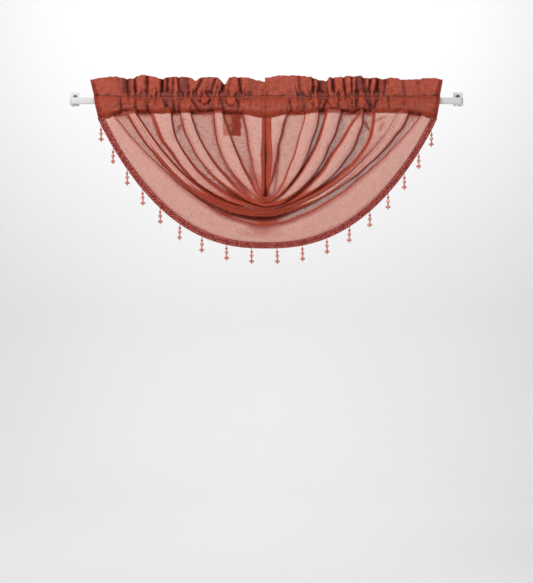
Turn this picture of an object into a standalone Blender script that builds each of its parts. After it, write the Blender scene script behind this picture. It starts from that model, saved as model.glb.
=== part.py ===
"""A sheer swag valance with a beaded edge, gathered on a flat curtain rod.

Metres, +Z up. The wall is the plane y = 0 and the room is at y below 0. The origin is on the
wall, midway between the two brackets, at the height of the rod's centre line.
"""

import math

import bmesh
import bpy
from mathutils import Vector

MM = 0.001

# Clearance that touching pieces keep, and the one along the seam under the pocket
GAP = 0.3 * MM
SEAM_GAP = 0.6 * MM

# Flat rod, its returns to the wall and its brackets
ROD_LENGTH = 902 * MM
ROD_HEIGHT = 15 * MM
ROD_DEPTH = 6 * MM
ROD_PROJECTION = 38 * MM
ROD_BEND_RADIUS = 7 * MM
ROD_CORNER = 2.2 * MM
PLATE_WIDTH = 22 * MM
PLATE_HEIGHT = 31 * MM
PLATE_THICKNESS = 1.6 * MM
PLATE_RISE = 10 * MM
PLATE_OVERHANG = 5 * MM
TONGUE_LENGTH = 22 * MM
TONGUE_HEIGHT = 11 * MM
TONGUE_THICKNESS = 1.4 * MM
SCREW_RISE = 16 * MM
SCREW_FROM_END = 7 * MM
SCREW_HEAD_RADIUS = 4.4 * MM
SCREW_HEAD_HEIGHT = 2.2 * MM
SCREW_SHANK_RADIUS = 2.0 * MM
SCREW_SIDES = 20

# Cloth
CLOTH = 1.2 * MM
ROD_CLEARANCE = 2 * MM

# Heading: a strip folded double, with a ruffle above the stitch line and the rod's pocket below
STITCH_RISE = 11 * MM
POCKET_DROP = 29.5 * MM
POCKET_END_DROP = 10 * MM
POCKET_TOP = ROD_HEIGHT / 2 + GAP
POCKET_HIGH = 1.5 * MM
POCKET_LOW = -8 * MM
POCKET_PUCKER = 6 * MM
RUFFLE_THICKNESS = 2.4 * MM
RUFFLE_LEAN = 5 * MM
RUFFLE_DEPTH = 1.6
HEM_FULLNESS = 3.2
HEM_HEIGHT_SHARE = 0.45
STATION_STEP = 3.5 * MM

# The front of the pocket near its lower edge: how much of the pocket's wall, of the seam's place
# and of the pucker it takes up, and how far the back stands out there
FRONT_OF_WALL = 0.7
FRONT_OF_SEAM = 0.5
FRONT_OF_PUCKER = 0.6
BACK_OF_WALL = 0.4

# How much of the pucker is left level with the rod, and how much of the ruffle's forward lean
# is reached at the stitch line and half way up
PUCKER_AT_ROD = 0.8
LEAN_AT_STITCH = 0.15
LEAN_HALF_WAY = 0.7

# The ruffle's top edge, left half and right half, in mm: across from the centre, above the rod
RUFFLE_COLUMNS = ("across", "height")
LEFT_RUFFLE = (
    (402, 47),
    (374, 53),
    (346, 56),
    (316, 49),
    (278, 58),
    (239, 48),
    (206, 55),
    (163, 46),
    (128, 54),
    (96, 40),
    (80, 54),
    (42, 47),
    (4.6, 43),
)
RIGHT_RUFFLE = (
    (-3.8, 52),
    (36, 53),
    (68, 57),
    (104, 50),
    (132, 42),
    (148, 55),
    (197, 57),
    (221, 54),
    (262, 48),
    (276, 52),
    (316, 47),
    (380, 51),
    (402, 47),
)

# Creases between the gathers, in mm: across from the centre, and how deep each one is in the
# ruffle and in the pocket
CREASE_COLUMNS = ("across", "ruffle", "pocket")
LEFT_CREASES = (
    (28, 2, 2),
    (60, 4, 4),
    (104, 6, 5),
    (133, 2, 3),
    (152, 2, 5),
    (174, 5, 1),
    (197, 4, 4),
    (218, 6, 6),
    (236, 6, 3),
    (272, 5, 4),
    (298, 4, 5),
    (320, 6, 1),
    (332, 3, 6),
    (368, 1, 2),
)
RIGHT_CREASES = (
    (20, 1, 2),
    (54, 1, 4),
    (78, 3, 1),
    (92, 1, 4),
    (108, 4, 2),
    (127, 7, 3),
    (141, 2, 6),
    (153, 5, 3),
    (179, 5, 5),
    (200, 5, 4),
    (221, 4, 3),
    (234, 4, 5),
    (250, 6, 5),
    (298, 3, 1),
    (316, 4, 4),
    (347, 1, 3),
)
CREASE_REACH = 7

# Fold lines from the outer edge to the inner hem, in mm. left and right say where a line leaves
# the pocket, drop how low it hangs at the centre and tip where its lowest point lies. round and
# fall are the exponents of its two halves. The last three columns say how far the band of cloth
# inside the line stands forward at the left pocket, at the centre and at the right pocket.
FOLD_COLUMNS = (
    "left",
    "left_round",
    "left_fall",
    "right",
    "right_round",
    "right_fall",
    "drop",
    "tip",
    "left_forward",
    "centre_forward",
    "right_forward",
)
FOLDS = (
    (384.5, 2.45, 0.95, 389, 2.4, 0.94, 337, 0, 0, 0, 0),
    (349, 1.7, 1.0, 353, 1.75, 0.98, 286, -12, -4, -3, -4),
    (316, 1.8, 0.8, 324, 1.6, 0.8, 276, -6, 6, 8, 4),
    (309, 1.8, 0.85, 303, 1.5, 0.83, 273, -4, 6, 8, -1),
    (304, 1.8, 0.9, 297, 1.5, 0.8, 270.5, -4, 6, 8, 5),
    (297, 1.9, 0.92, 246, 1.5, 0.6, 268, -2, -6, -3, -5),
    (261, 2.3, 0.95, 221, 1.8, 0.7, 262, -2, 6, 9, 6),
    (217, 1.8, 0.62, 213, 2.1, 0.95, 250, -2, -6, -4, -6),
    (196, 1.7, 0.65, 170, 2.2, 0.85, 244, -2, 6, 8, 6),
    (172, 1.5, 0.8, 136, 2.3, 0.95, 240, -2, -6, -4, -6),
    (120, 1.5, 0.5, 120, 2.0, 0.8, 236, -2, 6, 7, 6),
    (100, 1.4, 0.95, 89, 1.9, 0.95, 232.5, -2, -6, -3, -6),
    (54, 1.8, 1.0, 49, 1.3, 1.0, 229, -2, 5, 5, 5),
    (5.6, 8.0, 1.0, -2.4, 8.0, 1.0, 225, -3.6, 0, 0, 0),
)
# Column positions inside each band, as shares of its width
BAND_STEPS = (0.0, 0.2, 0.5, 0.8)
NARROW_BAND_STEPS = (0.0, 0.5)
NARROW_BAND = 8
WALL_SOFTNESS = 0.24
ROWS = 38
LEAN = 1.0
PILE = 26 * MM
POCKET_WAVE_SHARE = 0.75
SWAG_FORWARD = 2.5 * MM

# Braid along the outer edge and the bead drops that hang from it
TRIM_WIDTH = 14.5 * MM
TRIM_THICKNESS = 1.6 * MM
TRIM_STEPS = 56
CLOTH_SETBACK = 1.0 * MM
DROPS = 18
FIRST_DROP = 20 * MM
LAST_DROP = 33 * MM
DROP_CLEARANCE = 0.4 * MM
DROP_SIDES = 6

# Half a drop's outline in mm: below its top, radius, and how much wider it is across
DROP_COLUMNS = ("below", "radius", "across")
DROP_PROFILE = (
    (0, 0.7, 1.0),
    (4.5, 0.8, 1.0),
    (7.5, 3.1, 1.0),
    (11.0, 0.9, 1.0),
    (13.0, 3.4, 1.0),
    (16.0, 4.1, 1.0),
    (19.0, 3.2, 1.0),
    (21.0, 1.0, 1.0),
    (25.5, 1.3, 1.3),
    (28.5, 2.6, 2.3),
    (31.0, 1.9, 1.5),
    (36.0, 0.5, 1.0),
)

# Sewn-in label, blank
LABEL_WIDTH = 41 * MM
LABEL_HEIGHT = 47 * MM
LABEL_THICKNESS = 1.0 * MM
LABEL_LEFT = -100 * MM
LABEL_BEHIND_ROD = 3.8 * MM
LABEL_TILT = 6 * MM

# Depths that follow from the sizes above
ROD_Y = -(ROD_PROJECTION - ROD_DEPTH / 2)
POCKET_HALF = ROD_DEPTH / 2 + ROD_CLEARANCE
SWAG_Y = ROD_Y - SWAG_FORWARD
LABEL_TOP_Y = ROD_Y + LABEL_BEHIND_ROD


def clear_scene():
    """Remove whatever the file holds."""
    for item in list(bpy.data.objects):
        bpy.data.objects.remove(item, do_unlink=True)


def material(name, colour, roughness, metallic=0.0):
    """A plain Principled material."""
    mat = bpy.data.materials.new(name)
    mat.use_nodes = True
    shader = mat.node_tree.nodes["Principled BSDF"]
    shader.inputs["Base Color"].default_value = (*colour, 1.0)
    shader.inputs["Roughness"].default_value = roughness
    shader.inputs["Metallic"].default_value = metallic
    mat.diffuse_color = (*colour, 1.0)
    return mat


def add_object(name, bm, mat, smooth=True):
    """Turn a bmesh into a named object with its faces pointing out."""
    bmesh.ops.recalc_face_normals(bm, faces=bm.faces)
    mesh = bpy.data.meshes.new(name)
    bm.to_mesh(mesh)
    bm.free()
    if smooth:
        mesh.shade_smooth()
        mesh.set_sharp_from_angle(angle=math.radians(50))
    obj = bpy.data.objects.new(name, mesh)
    obj.data.materials.append(mat)
    bpy.context.scene.collection.objects.link(obj)
    return obj


def as_dicts(columns, rows):
    """Rows of a table as dictionaries with the columns' names."""
    return [dict(zip(columns, row)) for row in rows]


def smooth(t):
    """Ease from 0 to 1."""
    t = min(max(t, 0.0), 1.0)
    return t * t * (3 - 2 * t)


def pocket_bottom(x, half_width):
    """Height of the pocket's lower edge, which sinks toward both ends of each heading."""
    t = min(abs(x) / half_width, 1.0)
    return -POCKET_DROP - POCKET_END_DROP * abs(2 * t - 1) ** 4


def side_point(fold, side, u):
    """Point (x, z) of a fold line on one side, with u from 0 at its tip to 1 at the pocket."""
    sign = -1 if side == "left" else 1
    pocket_x = sign * fold[side] * MM
    tip_x = fold["tip"] * MM
    half_width = FOLDS[0][FOLD_COLUMNS.index(side)] * MM
    top = pocket_bottom(pocket_x, half_width) - SEAM_GAP
    fall = fold["drop"] * MM + top
    depth = (1 - u ** fold[side + "_round"]) ** fold[side + "_fall"]
    return tip_x + (pocket_x - tip_x) * u, top - fall * depth


def fold_line(fold, count, samples=240):
    """A fold line from the left pocket to the right one, as count points evenly along it."""
    half_turn = [math.sin(math.pi / 2 * i / samples) for i in range(samples + 1)]
    left = [side_point(fold, "left", u) for u in reversed(half_turn)]
    right = [side_point(fold, "right", u) for u in half_turn]
    return evenly(left, count // 2 + 1) + evenly(right, count // 2 + 1)[1:]


def evenly(points, count):
    """The same path with count points at even steps along its length."""
    length = [0.0]
    for (xa, za), (xb, zb) in zip(points, points[1:]):
        length.append(length[-1] + math.hypot(xb - xa, zb - za))
    result = []
    k = 0
    for i in range(count):
        want = length[-1] * i / (count - 1)
        while k < len(points) - 2 and length[k + 1] < want:
            k += 1
        t = (want - length[k]) / max(length[k + 1] - length[k], 1e-12)
        (xa, za), (xb, zb) = points[k], points[k + 1]
        result.append((xa + (xb - xa) * t, za + (zb - za) * t))
    return result


def band_forward(fold, s):
    """How far the band inside a fold line stands forward at s, from 0 left to 1 right."""
    centre = math.sin(math.pi * s) ** 2
    end = fold["left_forward"] if s < 0.5 else fold["right_forward"]
    return MM * (end + (fold["centre_forward"] - end) * centre)


def wave(folds, place, s):
    """Forward depth of the cloth at place, which counts fold lines from the outer edge."""
    band = min(int(place), len(folds) - 2)
    inside = place - band
    here = band_forward(folds[band], s)
    before = band_forward(folds[band - 1], s) if band > 0 else 0.0
    after = band_forward(folds[band + 1], s) if band < len(folds) - 2 else 0.0
    if inside < WALL_SOFTNESS:
        t = 0.5 + 0.5 * inside / WALL_SOFTNESS
        return before + (here - before) * smooth(t)
    if inside > 1 - WALL_SOFTNESS:
        t = 0.5 * (inside - (1 - WALL_SOFTNESS)) / WALL_SOFTNESS
        return here + (after - here) * smooth(t)
    return here


def wave_share(s):
    """The folds stand a little lower where the pocket holds them."""
    rise = smooth(min(s, 1 - s) / 0.08)
    return POCKET_WAVE_SHARE + (1 - POCKET_WAVE_SHARE) * rise


def pile(place, s, count):
    """How far the inner folds lie in front of the outer ones, most at the centre."""
    inward = smooth((place - 0.5) / (count - 1.5))
    return PILE * inward * math.sin(math.pi * s) ** 4


def places(folds):
    """Where the mesh columns lie, counted in fold lines."""
    result = []
    for band, (fold, inner) in enumerate(zip(folds, folds[1:])):
        narrow = fold["left"] - inner["left"] < NARROW_BAND and fold["right"] - inner["right"] < NARROW_BAND
        result += [band + step for step in (NARROW_BAND_STEPS if narrow else BAND_STEPS)]
    return result + [float(len(folds) - 1)]


def swag_grid(rows=ROWS):
    """Middle surface of the swag: a list of columns, each a list of points along the folds."""
    folds = as_dicts(FOLD_COLUMNS, FOLDS)
    lines = [fold_line(fold, rows) for fold in folds]
    grid = []
    for place in places(folds):
        band = min(int(place), len(folds) - 2)
        share = place - band
        column = []
        for k, ((xa, za), (xb, zb)) in enumerate(zip(lines[band], lines[band + 1])):
            s = k / rows
            forward = wave(folds, place, s) * wave_share(s)
            x = xa + (xb - xa) * share
            z = za + (zb - za) * share
            lean = LEAN * math.sin(math.pi * s) ** 2
            depth = forward + pile(place, s, len(folds))
            column.append(Vector((x, SWAG_Y - depth, z - lean * forward)))
        grid.append(column)
    return grid


def sheet_object(name, grid, thickness, mat):
    """A sheet of cloth: its middle surface with a Solidify modifier."""
    bm = bmesh.new()
    verts = [[bm.verts.new(point) for point in column] for column in grid]
    for left, right in zip(verts, verts[1:]):
        for k in range(len(left) - 1):
            bm.faces.new((left[k], right[k], right[k + 1], left[k + 1]))
    obj = add_object(name, bm, mat)
    solid = obj.modifiers.new("thickness", "SOLIDIFY")
    solid.thickness = thickness
    solid.offset = 0
    return obj


def ruffle_height(rows, x):
    """Height of the ruffle's top edge at x, a smooth curve through the table's rows."""
    for a, b in zip(rows, rows[1:]):
        if x <= b["across"]:
            t = (x - a["across"]) / (b["across"] - a["across"])
            return a["height"] + (b["height"] - a["height"]) * smooth(t)
    return rows[-1]["height"]


def crease_depth(creases, x, place):
    """How deep the creases are at x in one place, the ruffle or the pocket."""
    depth = 0.0
    for crease in creases:
        away = (x / MM - crease["across"]) / CREASE_REACH
        depth = max(depth, crease[place] * math.exp(-away * away))
    return depth * MM


def heading_stations(creases, ends):
    """Places across a heading in metres: three at each crease and one between creases."""
    wanted = [ends[0], ends[1]]
    for crease in creases:
        wanted += [(crease["across"] + step) * MM for step in (-CREASE_REACH, 0, CREASE_REACH)]
    for a, b in zip(creases, creases[1:]):
        wanted.append((a["across"] + b["across"]) / 2 * MM)
    result = []
    for x in sorted(wanted):
        inside = ends[0] <= x <= ends[1]
        if inside and (not result or x - result[-1] > STATION_STEP):
            result.append(x)
    result[-1] = ends[1]
    return result


def seam_forward(seam_row, x):
    """How far the swag's top edge stands in front of the rod's middle at x."""
    points = sorted(seam_row, key=lambda point: point.x)
    for a, b in zip(points, points[1:]):
        if x <= b.x:
            t = min(max((x - a.x) / (b.x - a.x), 0.0), 1.0)
            return ROD_Y - (a.y + (b.y - a.y) * t)
    return ROD_Y - points[-1].y


def heading_section(seam, ruffle_crease, pocket_crease, bottom_z, top_z):
    """Outer and inner outline of the heading at one station, as (forward, z) points."""
    wall = POCKET_HALF + CLOTH
    pucker = max(POCKET_PUCKER - pocket_crease, 0)
    half = RUFFLE_THICKNESS / 2
    lift = RUFFLE_LEAN - ruffle_crease * RUFFLE_DEPTH
    upper = (STITCH_RISE + top_z) / 2
    lower = bottom_z + (POCKET_LOW - bottom_z) * HEM_HEIGHT_SHARE
    front = FRONT_OF_WALL * wall + FRONT_OF_SEAM * seam + FRONT_OF_PUCKER * pucker
    belly = max(seam + HEM_FULLNESS * CLOTH, front)
    back_belly = min(seam - HEM_FULLNESS * CLOTH, -BACK_OF_WALL * wall)
    low_lean = LEAN_AT_STITCH * lift
    mid_lean = LEAN_HALF_WAY * lift
    level_pucker = PUCKER_AT_ROD * pucker
    inner_seam = CLOTH / 4
    inner_bottom = bottom_z + 3 * CLOTH
    outer = [
        (seam + CLOTH, bottom_z),
        (belly, lower),
        (wall + pucker, POCKET_LOW),
        (wall + level_pucker, POCKET_HIGH),
        (wall, POCKET_TOP + CLOTH),
        (half + low_lean, STITCH_RISE),
        (half + mid_lean, upper),
        (half + lift, top_z - half),
        (lift, top_z),
        (lift - half, top_z - half),
        (mid_lean - half, upper),
        (low_lean - half, STITCH_RISE),
        (-wall, POCKET_TOP + CLOTH),
        (-wall, POCKET_LOW),
        (back_belly, lower),
        (seam - CLOTH, bottom_z),
    ]
    inner = [
        (seam + inner_seam, inner_bottom),
        (belly - CLOTH, lower),
        (wall + pucker - CLOTH, POCKET_LOW),
        (wall + level_pucker - CLOTH, POCKET_HIGH),
        (POCKET_HALF, POCKET_TOP),
        (-POCKET_HALF, POCKET_TOP),
        (-POCKET_HALF, POCKET_LOW),
        (back_belly + CLOTH, lower),
        (seam - inner_seam, inner_bottom),
    ]
    return outer, inner


def heading(name, side, seam_row, mat):
    """One gathered heading on the rod, above the swag's top edge on that side."""
    sign = -1 if side == "left" else 1
    rows = as_dicts(RUFFLE_COLUMNS, sorted(LEFT_RUFFLE if side == "left" else RIGHT_RUFFLE))
    creases = as_dicts(CREASE_COLUMNS, LEFT_CREASES if side == "left" else RIGHT_CREASES)
    top_ends = (rows[0]["across"] * MM, rows[-1]["across"] * MM)
    seam_ends = (sign * seam_row[-1].x, sign * seam_row[0].x)
    half_width = FOLDS[0][FOLD_COLUMNS.index(side)] * MM
    bm = bmesh.new()
    outer_loops = []
    inner_loops = []
    for top_x in heading_stations(creases, top_ends):
        share = (top_x - top_ends[0]) / (top_ends[1] - top_ends[0])
        seam_x = seam_ends[0] + (seam_ends[1] - seam_ends[0]) * share
        top_z = ruffle_height(rows, top_x / MM) * MM
        bottom_z = pocket_bottom(seam_x, half_width)
        seam = seam_forward(seam_row, sign * seam_x)
        ruffle_crease = crease_depth(creases, top_x, "ruffle")
        pocket_crease = crease_depth(creases, top_x, "pocket")
        outer, inner = heading_section(seam, ruffle_crease, pocket_crease, bottom_z, top_z)
        for loops, outline in ((outer_loops, outer), (inner_loops, inner)):
            loop = []
            for forward, z in outline:
                t = (z - bottom_z) / (top_z - bottom_z)
                x = sign * (seam_x + (top_x - seam_x) * t)
                loop.append(bm.verts.new((x, ROD_Y - forward, z)))
            loops.append(loop)
    for loops in (outer_loops, inner_loops):
        for a, b in zip(loops, loops[1:]):
            for k in range(len(a)):
                j = (k + 1) % len(a)
                bm.faces.new((a[k], a[j], b[j], b[k]))
    for end in (0, -1):
        edges = []
        for loop in (outer_loops[end], inner_loops[end]):
            for k in range(len(loop)):
                edges.append(bm.edges.get((loop[k], loop[(k + 1) % len(loop)])))
        bmesh.ops.triangle_fill(bm, use_beauty=True, edges=edges)
    return add_object(name, bm, mat)


def outer_edge():
    """The braid's outer edge from the left pocket to the right one."""
    fold = dict(zip(FOLD_COLUMNS, FOLDS[0]))
    edge = fold_line(fold, TRIM_STEPS)
    return [Vector((x, 0, z)) for x, z in edge]


def outward(points, k):
    """Unit normal of a path in the plane of the wall, pointing away from its hollow side."""
    a = points[max(k - 1, 0)]
    b = points[min(k + 1, len(points) - 1)]
    along = (b - a).normalized()
    return Vector((along.z, 0, -along.x))


def trim(mat):
    """The braid: a flat strip with rounded edges, laid on the front of the cloth's edge."""
    edge = outer_edge()
    front = SWAG_Y - CLOTH / 2 - GAP - TRIM_THICKNESS
    back = front + TRIM_THICKNESS
    middle = (front + back) / 2
    soft = TRIM_THICKNESS / 2
    section = (
        (CLOTH_SETBACK, middle),
        (CLOTH_SETBACK - soft, front),
        (CLOTH_SETBACK + soft - TRIM_WIDTH, front),
        (CLOTH_SETBACK - TRIM_WIDTH, middle),
        (CLOTH_SETBACK + soft - TRIM_WIDTH, back),
        (CLOTH_SETBACK - soft, back),
    )
    bm = bmesh.new()
    loops = []
    for k, point in enumerate(edge):
        out = outward(edge, k)
        loop = []
        for o, y in section:
            spot = point + out * o
            under_pocket = pocket_bottom(spot.x, abs(edge[0 if spot.x < 0 else -1].x)) - 2 * GAP
            loop.append(bm.verts.new((spot.x, y, min(spot.z, under_pocket))))
        loops.append(loop)
    for a, b in zip(loops, loops[1:]):
        for k in range(len(section)):
            j = (k + 1) % len(section)
            bm.faces.new((a[k], a[j], b[j], b[k]))
    bm.faces.new(loops[0])
    bm.faces.new(loops[-1])
    return add_object("trim", bm, mat)


def drop_places():
    """Top point of each bead drop, evenly along the braid's lower edge."""
    edge = outer_edge()
    length = [0.0]
    for a, b in zip(edge, edge[1:]):
        length.append(length[-1] + (b - a).length)
    pitch = (length[-1] - FIRST_DROP - LAST_DROP) / (DROPS - 1)
    top_radius = DROP_PROFILE[0][DROP_COLUMNS.index("radius")] * MM
    result = []
    for i in range(DROPS):
        want = FIRST_DROP + pitch * i
        k = next(n for n in range(1, len(length)) if length[n] >= want)
        t = (want - length[k - 1]) / (length[k] - length[k - 1])
        out = outward(edge, k)
        reach = top_radius * abs(out.x)
        result.append(edge[k - 1].lerp(edge[k], t) + out * (CLOTH_SETBACK + DROP_CLEARANCE + reach))
    return result


def drop_mesh():
    """One bead drop, turned about its thread, with a wide cluster near the bottom."""
    bm = bmesh.new()
    rings = []
    for row in as_dicts(DROP_COLUMNS, DROP_PROFILE):
        ring = []
        for k in range(DROP_SIDES):
            turn = 2 * math.pi * k / DROP_SIDES
            x = row["radius"] * row["across"] * math.cos(turn)
            y = row["radius"] * math.sin(turn)
            ring.append(bm.verts.new(Vector((x, y, -row["below"])) * MM))
        rings.append(ring)
    for a, b in zip(rings, rings[1:]):
        for k in range(DROP_SIDES):
            j = (k + 1) % DROP_SIDES
            bm.faces.new((a[k], a[j], b[j], b[k]))
    bm.faces.new(rings[0])
    bm.faces.new(rings[-1])
    return bm


def drops(mat):
    """The bead drops as separate objects, numbered from the left."""
    y = SWAG_Y - CLOTH / 2 - GAP - TRIM_THICKNESS / 2
    for number, point in enumerate(drop_places(), start=1):
        obj = add_object("drop_%02d" % number, drop_mesh(), mat)
        obj.location = (point.x, y, point.z)


def care_label(mat):
    """A blank label sewn into the left pocket's seam, hanging behind the cloth."""
    half_width = FOLDS[0][FOLD_COLUMNS.index("left")] * MM
    grid = []
    for across in (0.0, 0.5, 1.0):
        x = LABEL_LEFT + LABEL_WIDTH * across
        top = pocket_bottom(x, half_width) - SEAM_GAP
        column = []
        for down in (0.0, 0.33, 0.66, 1.0):
            y = LABEL_TOP_Y + LABEL_TILT * math.sin(math.pi / 2 * down)
            column.append(Vector((x, y, top - LABEL_HEIGHT * down)))
        grid.append(column)
    return sheet_object("care_label", grid, LABEL_THICKNESS, mat)


def box(bm, low, high):
    """A box between two corners."""
    made = bmesh.ops.create_cube(bm, size=1.0)
    size = high - low
    middle = (low + high) / 2
    for vert in made["verts"]:
        vert.co = Vector(c * s + m for c, s, m in zip(vert.co, size, middle))


def rod_section():
    """The rod's section, a rounded flat bar, as (depth, height) points."""
    half_depth = ROD_DEPTH / 2
    half_height = ROD_HEIGHT / 2
    points = []
    corners = ((1, 1), (-1, 1), (-1, -1), (1, -1))
    for quarter, (a, b) in enumerate(corners):
        for step in range(3):
            turn = math.pi / 2 * (quarter + step / 2)
            y = a * (half_depth - ROD_CORNER) + ROD_CORNER * math.cos(turn)
            z = b * (half_height - ROD_CORNER) + ROD_CORNER * math.sin(turn)
            points.append((y, z))
    return points


def rod_path():
    """Middle line of the rod seen from above, as (x, y, direction) stations."""
    half = ROD_LENGTH / 2 - ROD_DEPTH / 2
    centre_x = half - ROD_BEND_RADIUS
    centre_y = ROD_Y + ROD_BEND_RADIUS
    start = -(PLATE_THICKNESS + GAP)
    stations = [(-half, start, -math.pi / 2)]
    for step in range(7):
        turn = math.pi / 2 * step / 6
        x = -centre_x - ROD_BEND_RADIUS * math.cos(turn)
        y = centre_y - ROD_BEND_RADIUS * math.sin(turn)
        stations.append((x, y, -math.pi / 2 + turn))
    right = [(-x, y, -turn) for x, y, turn in reversed(stations)]
    return stations + right


def rod(mat):
    """The flat rod with both ends bent back to the wall."""
    section = rod_section()
    bm = bmesh.new()
    loops = []
    for x, y, turn in rod_path():
        side = Vector((-math.sin(turn), math.cos(turn), 0))
        centre = Vector((x, y, 0))
        loops.append([bm.verts.new(centre + side * d + Vector((0, 0, z))) for d, z in section])
    for a, b in zip(loops, loops[1:]):
        for k in range(len(section)):
            j = (k + 1) % len(section)
            bm.faces.new((a[k], a[j], b[j], b[k]))
    bm.faces.new(loops[0])
    bm.faces.new(loops[-1])
    return add_object("rod", bm, mat)


def bracket(name, sign, mat):
    """A wall plate with a tongue beside the rod's return, bored for its screw."""
    inner = ROD_LENGTH / 2 - ROD_DEPTH - GAP
    bm = bmesh.new()
    plate_end = ROD_LENGTH / 2 + PLATE_OVERHANG
    plate_low = Vector((plate_end - PLATE_WIDTH, -PLATE_THICKNESS, PLATE_RISE - PLATE_HEIGHT / 2))
    plate_high = Vector((plate_end, 0, PLATE_RISE + PLATE_HEIGHT / 2))
    tongue_low = Vector((inner - TONGUE_THICKNESS, -TONGUE_LENGTH, -TONGUE_HEIGHT / 2))
    tongue_high = Vector((inner, -PLATE_THICKNESS / 2, TONGUE_HEIGHT / 2))
    box(bm, plate_low, plate_high)
    tongue = bmesh.new()
    box(tongue, tongue_low, tongue_high)
    for work in (bm, tongue):
        for vert in work.verts:
            vert.co.x *= sign
    plate = add_object(name, bm, mat, smooth=False)
    add = add_object(name + "_tongue_guide", tongue, mat, smooth=False)
    bore = bmesh.new()
    radius = SCREW_SHANK_RADIUS + GAP
    bmesh.ops.create_cone(
        bore, cap_ends=True, segments=SCREW_SIDES, radius1=radius, radius2=radius, depth=4 * PLATE_THICKNESS
    )
    cut = add_object(name + "_bore_cutter", bore, mat, smooth=False)
    cut.location = (sign * screw_x(), -PLATE_THICKNESS / 2, SCREW_RISE)
    cut.rotation_euler = (math.pi / 2, 0, 0)
    for other, operation in ((add, "UNION"), (cut, "DIFFERENCE")):
        other.hide_render = True
        other.display_type = "WIRE"
        change = plate.modifiers.new(operation.lower(), "BOOLEAN")
        change.operation = operation
        change.solver = "EXACT"
        change.object = other
    return plate


def screw_x():
    """How far the screws lie from the middle."""
    return ROD_LENGTH / 2 - SCREW_FROM_END


def screw(name, sign, mat):
    """A round-headed screw whose shank fills the plate's bore."""
    profile = (
        (0.0, -PLATE_THICKNESS - SCREW_HEAD_HEIGHT - GAP),
        (SCREW_HEAD_RADIUS * 0.65, -PLATE_THICKNESS - SCREW_HEAD_HEIGHT * 0.9 - GAP),
        (SCREW_HEAD_RADIUS, -PLATE_THICKNESS - SCREW_HEAD_HEIGHT * 0.35 - GAP),
        (SCREW_HEAD_RADIUS, -PLATE_THICKNESS - GAP),
        (SCREW_SHANK_RADIUS, -PLATE_THICKNESS - GAP),
        (SCREW_SHANK_RADIUS, 0.0),
        (0.0, 0.0),
    )
    bm = bmesh.new()
    points = [bm.verts.new((radius, y, 0)) for radius, y in profile]
    edges = [bm.edges.new(pair) for pair in zip(points, points[1:])]
    bmesh.ops.spin(
        bm,
        geom=points + edges,
        axis=(0, 1, 0),
        cent=(0, 0, 0),
        angle=2 * math.pi,
        steps=SCREW_SIDES,
    )
    bmesh.ops.remove_doubles(bm, verts=bm.verts, dist=0.01 * MM)
    obj = add_object(name, bm, mat)
    obj.location = (sign * screw_x(), 0, SCREW_RISE)
    return obj


def build():
    """The whole valance on its rod."""
    clear_scene()
    rust = material("rust_voile", (0.42, 0.08, 0.045), 0.8)
    braid = material("rust_braid", (0.30, 0.05, 0.05), 0.7)
    bead = material("rose_beads", (0.62, 0.22, 0.17), 0.2)
    white = material("white_enamel", (0.85, 0.85, 0.85), 0.35)
    plate = material("bracket_enamel", (0.80, 0.80, 0.80), 0.4)
    steel = material("screw_steel", (0.12, 0.12, 0.12), 0.4, 1.0)
    paper = material("label_satin", (0.80, 0.74, 0.70), 0.6)

    grid = swag_grid()
    sheet_object("swag", grid, CLOTH, rust)
    heading("heading_left", "left", [column[0] for column in grid], rust)
    heading("heading_right", "right", [column[-1] for column in grid], rust)
    trim(braid)
    drops(bead)
    care_label(paper)
    rod(white)
    for side, sign in (("left", -1), ("right", 1)):
        bracket("bracket_" + side, sign, plate)
        screw("screw_" + side, sign, steel)


build()
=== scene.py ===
"""Looks of a sheer rust swag valance with a beaded braid, hung on a flat white curtain rod."""

import math
import random
from types import SimpleNamespace

import bmesh
import bpy
import numpy as np
from mathutils import Matrix, Vector


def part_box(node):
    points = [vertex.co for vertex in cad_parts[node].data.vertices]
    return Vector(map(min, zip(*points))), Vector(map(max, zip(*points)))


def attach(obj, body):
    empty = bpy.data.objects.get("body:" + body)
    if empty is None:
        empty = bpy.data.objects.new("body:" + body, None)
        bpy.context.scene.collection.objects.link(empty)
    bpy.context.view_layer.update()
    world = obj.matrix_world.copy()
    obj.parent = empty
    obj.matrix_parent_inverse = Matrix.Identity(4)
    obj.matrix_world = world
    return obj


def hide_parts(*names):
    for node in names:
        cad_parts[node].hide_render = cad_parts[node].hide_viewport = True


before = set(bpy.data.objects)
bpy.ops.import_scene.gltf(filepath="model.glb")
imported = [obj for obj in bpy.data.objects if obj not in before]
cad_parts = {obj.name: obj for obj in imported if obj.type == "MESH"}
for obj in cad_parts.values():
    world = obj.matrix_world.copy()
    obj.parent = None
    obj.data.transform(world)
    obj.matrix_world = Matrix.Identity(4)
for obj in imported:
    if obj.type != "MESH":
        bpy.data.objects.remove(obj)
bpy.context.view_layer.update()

MM = 0.001

# The rod and the cloth's main sizes, as in the part, and the rod's channel section
ROD_LENGTH = 902 * MM
ROD_HEIGHT = 15 * MM
ROD_DEPTH = 6 * MM
ROD_PROJECTION = 38 * MM
ROD_BEND_RADIUS = 7 * MM
ROD_WALL = 0.9 * MM
ROD_LIP = 3.2 * MM
CHANNEL_BEND = 2.0 * MM
ROD_Y = -(ROD_PROJECTION - ROD_DEPTH / 2)
PLATE_THICKNESS = 1.6 * MM
GAP = 0.3 * MM
SEAM_GAP = 0.6 * MM
CLOTH_THICKNESS = 1.2 * MM
STITCH_RISE = 11 * MM
POCKET_DROP = 29.5 * MM
POCKET_END_DROP = 10 * MM
POCKET_HIGH = 1.5 * MM
POCKET_LOW = -8 * MM
POCKET_TOP = ROD_HEIGHT / 2 + GAP
POCKET_PUCKER = 6 * MM
POCKET_WALL = ROD_DEPTH / 2 + 2 * MM + CLOTH_THICKNESS
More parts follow.
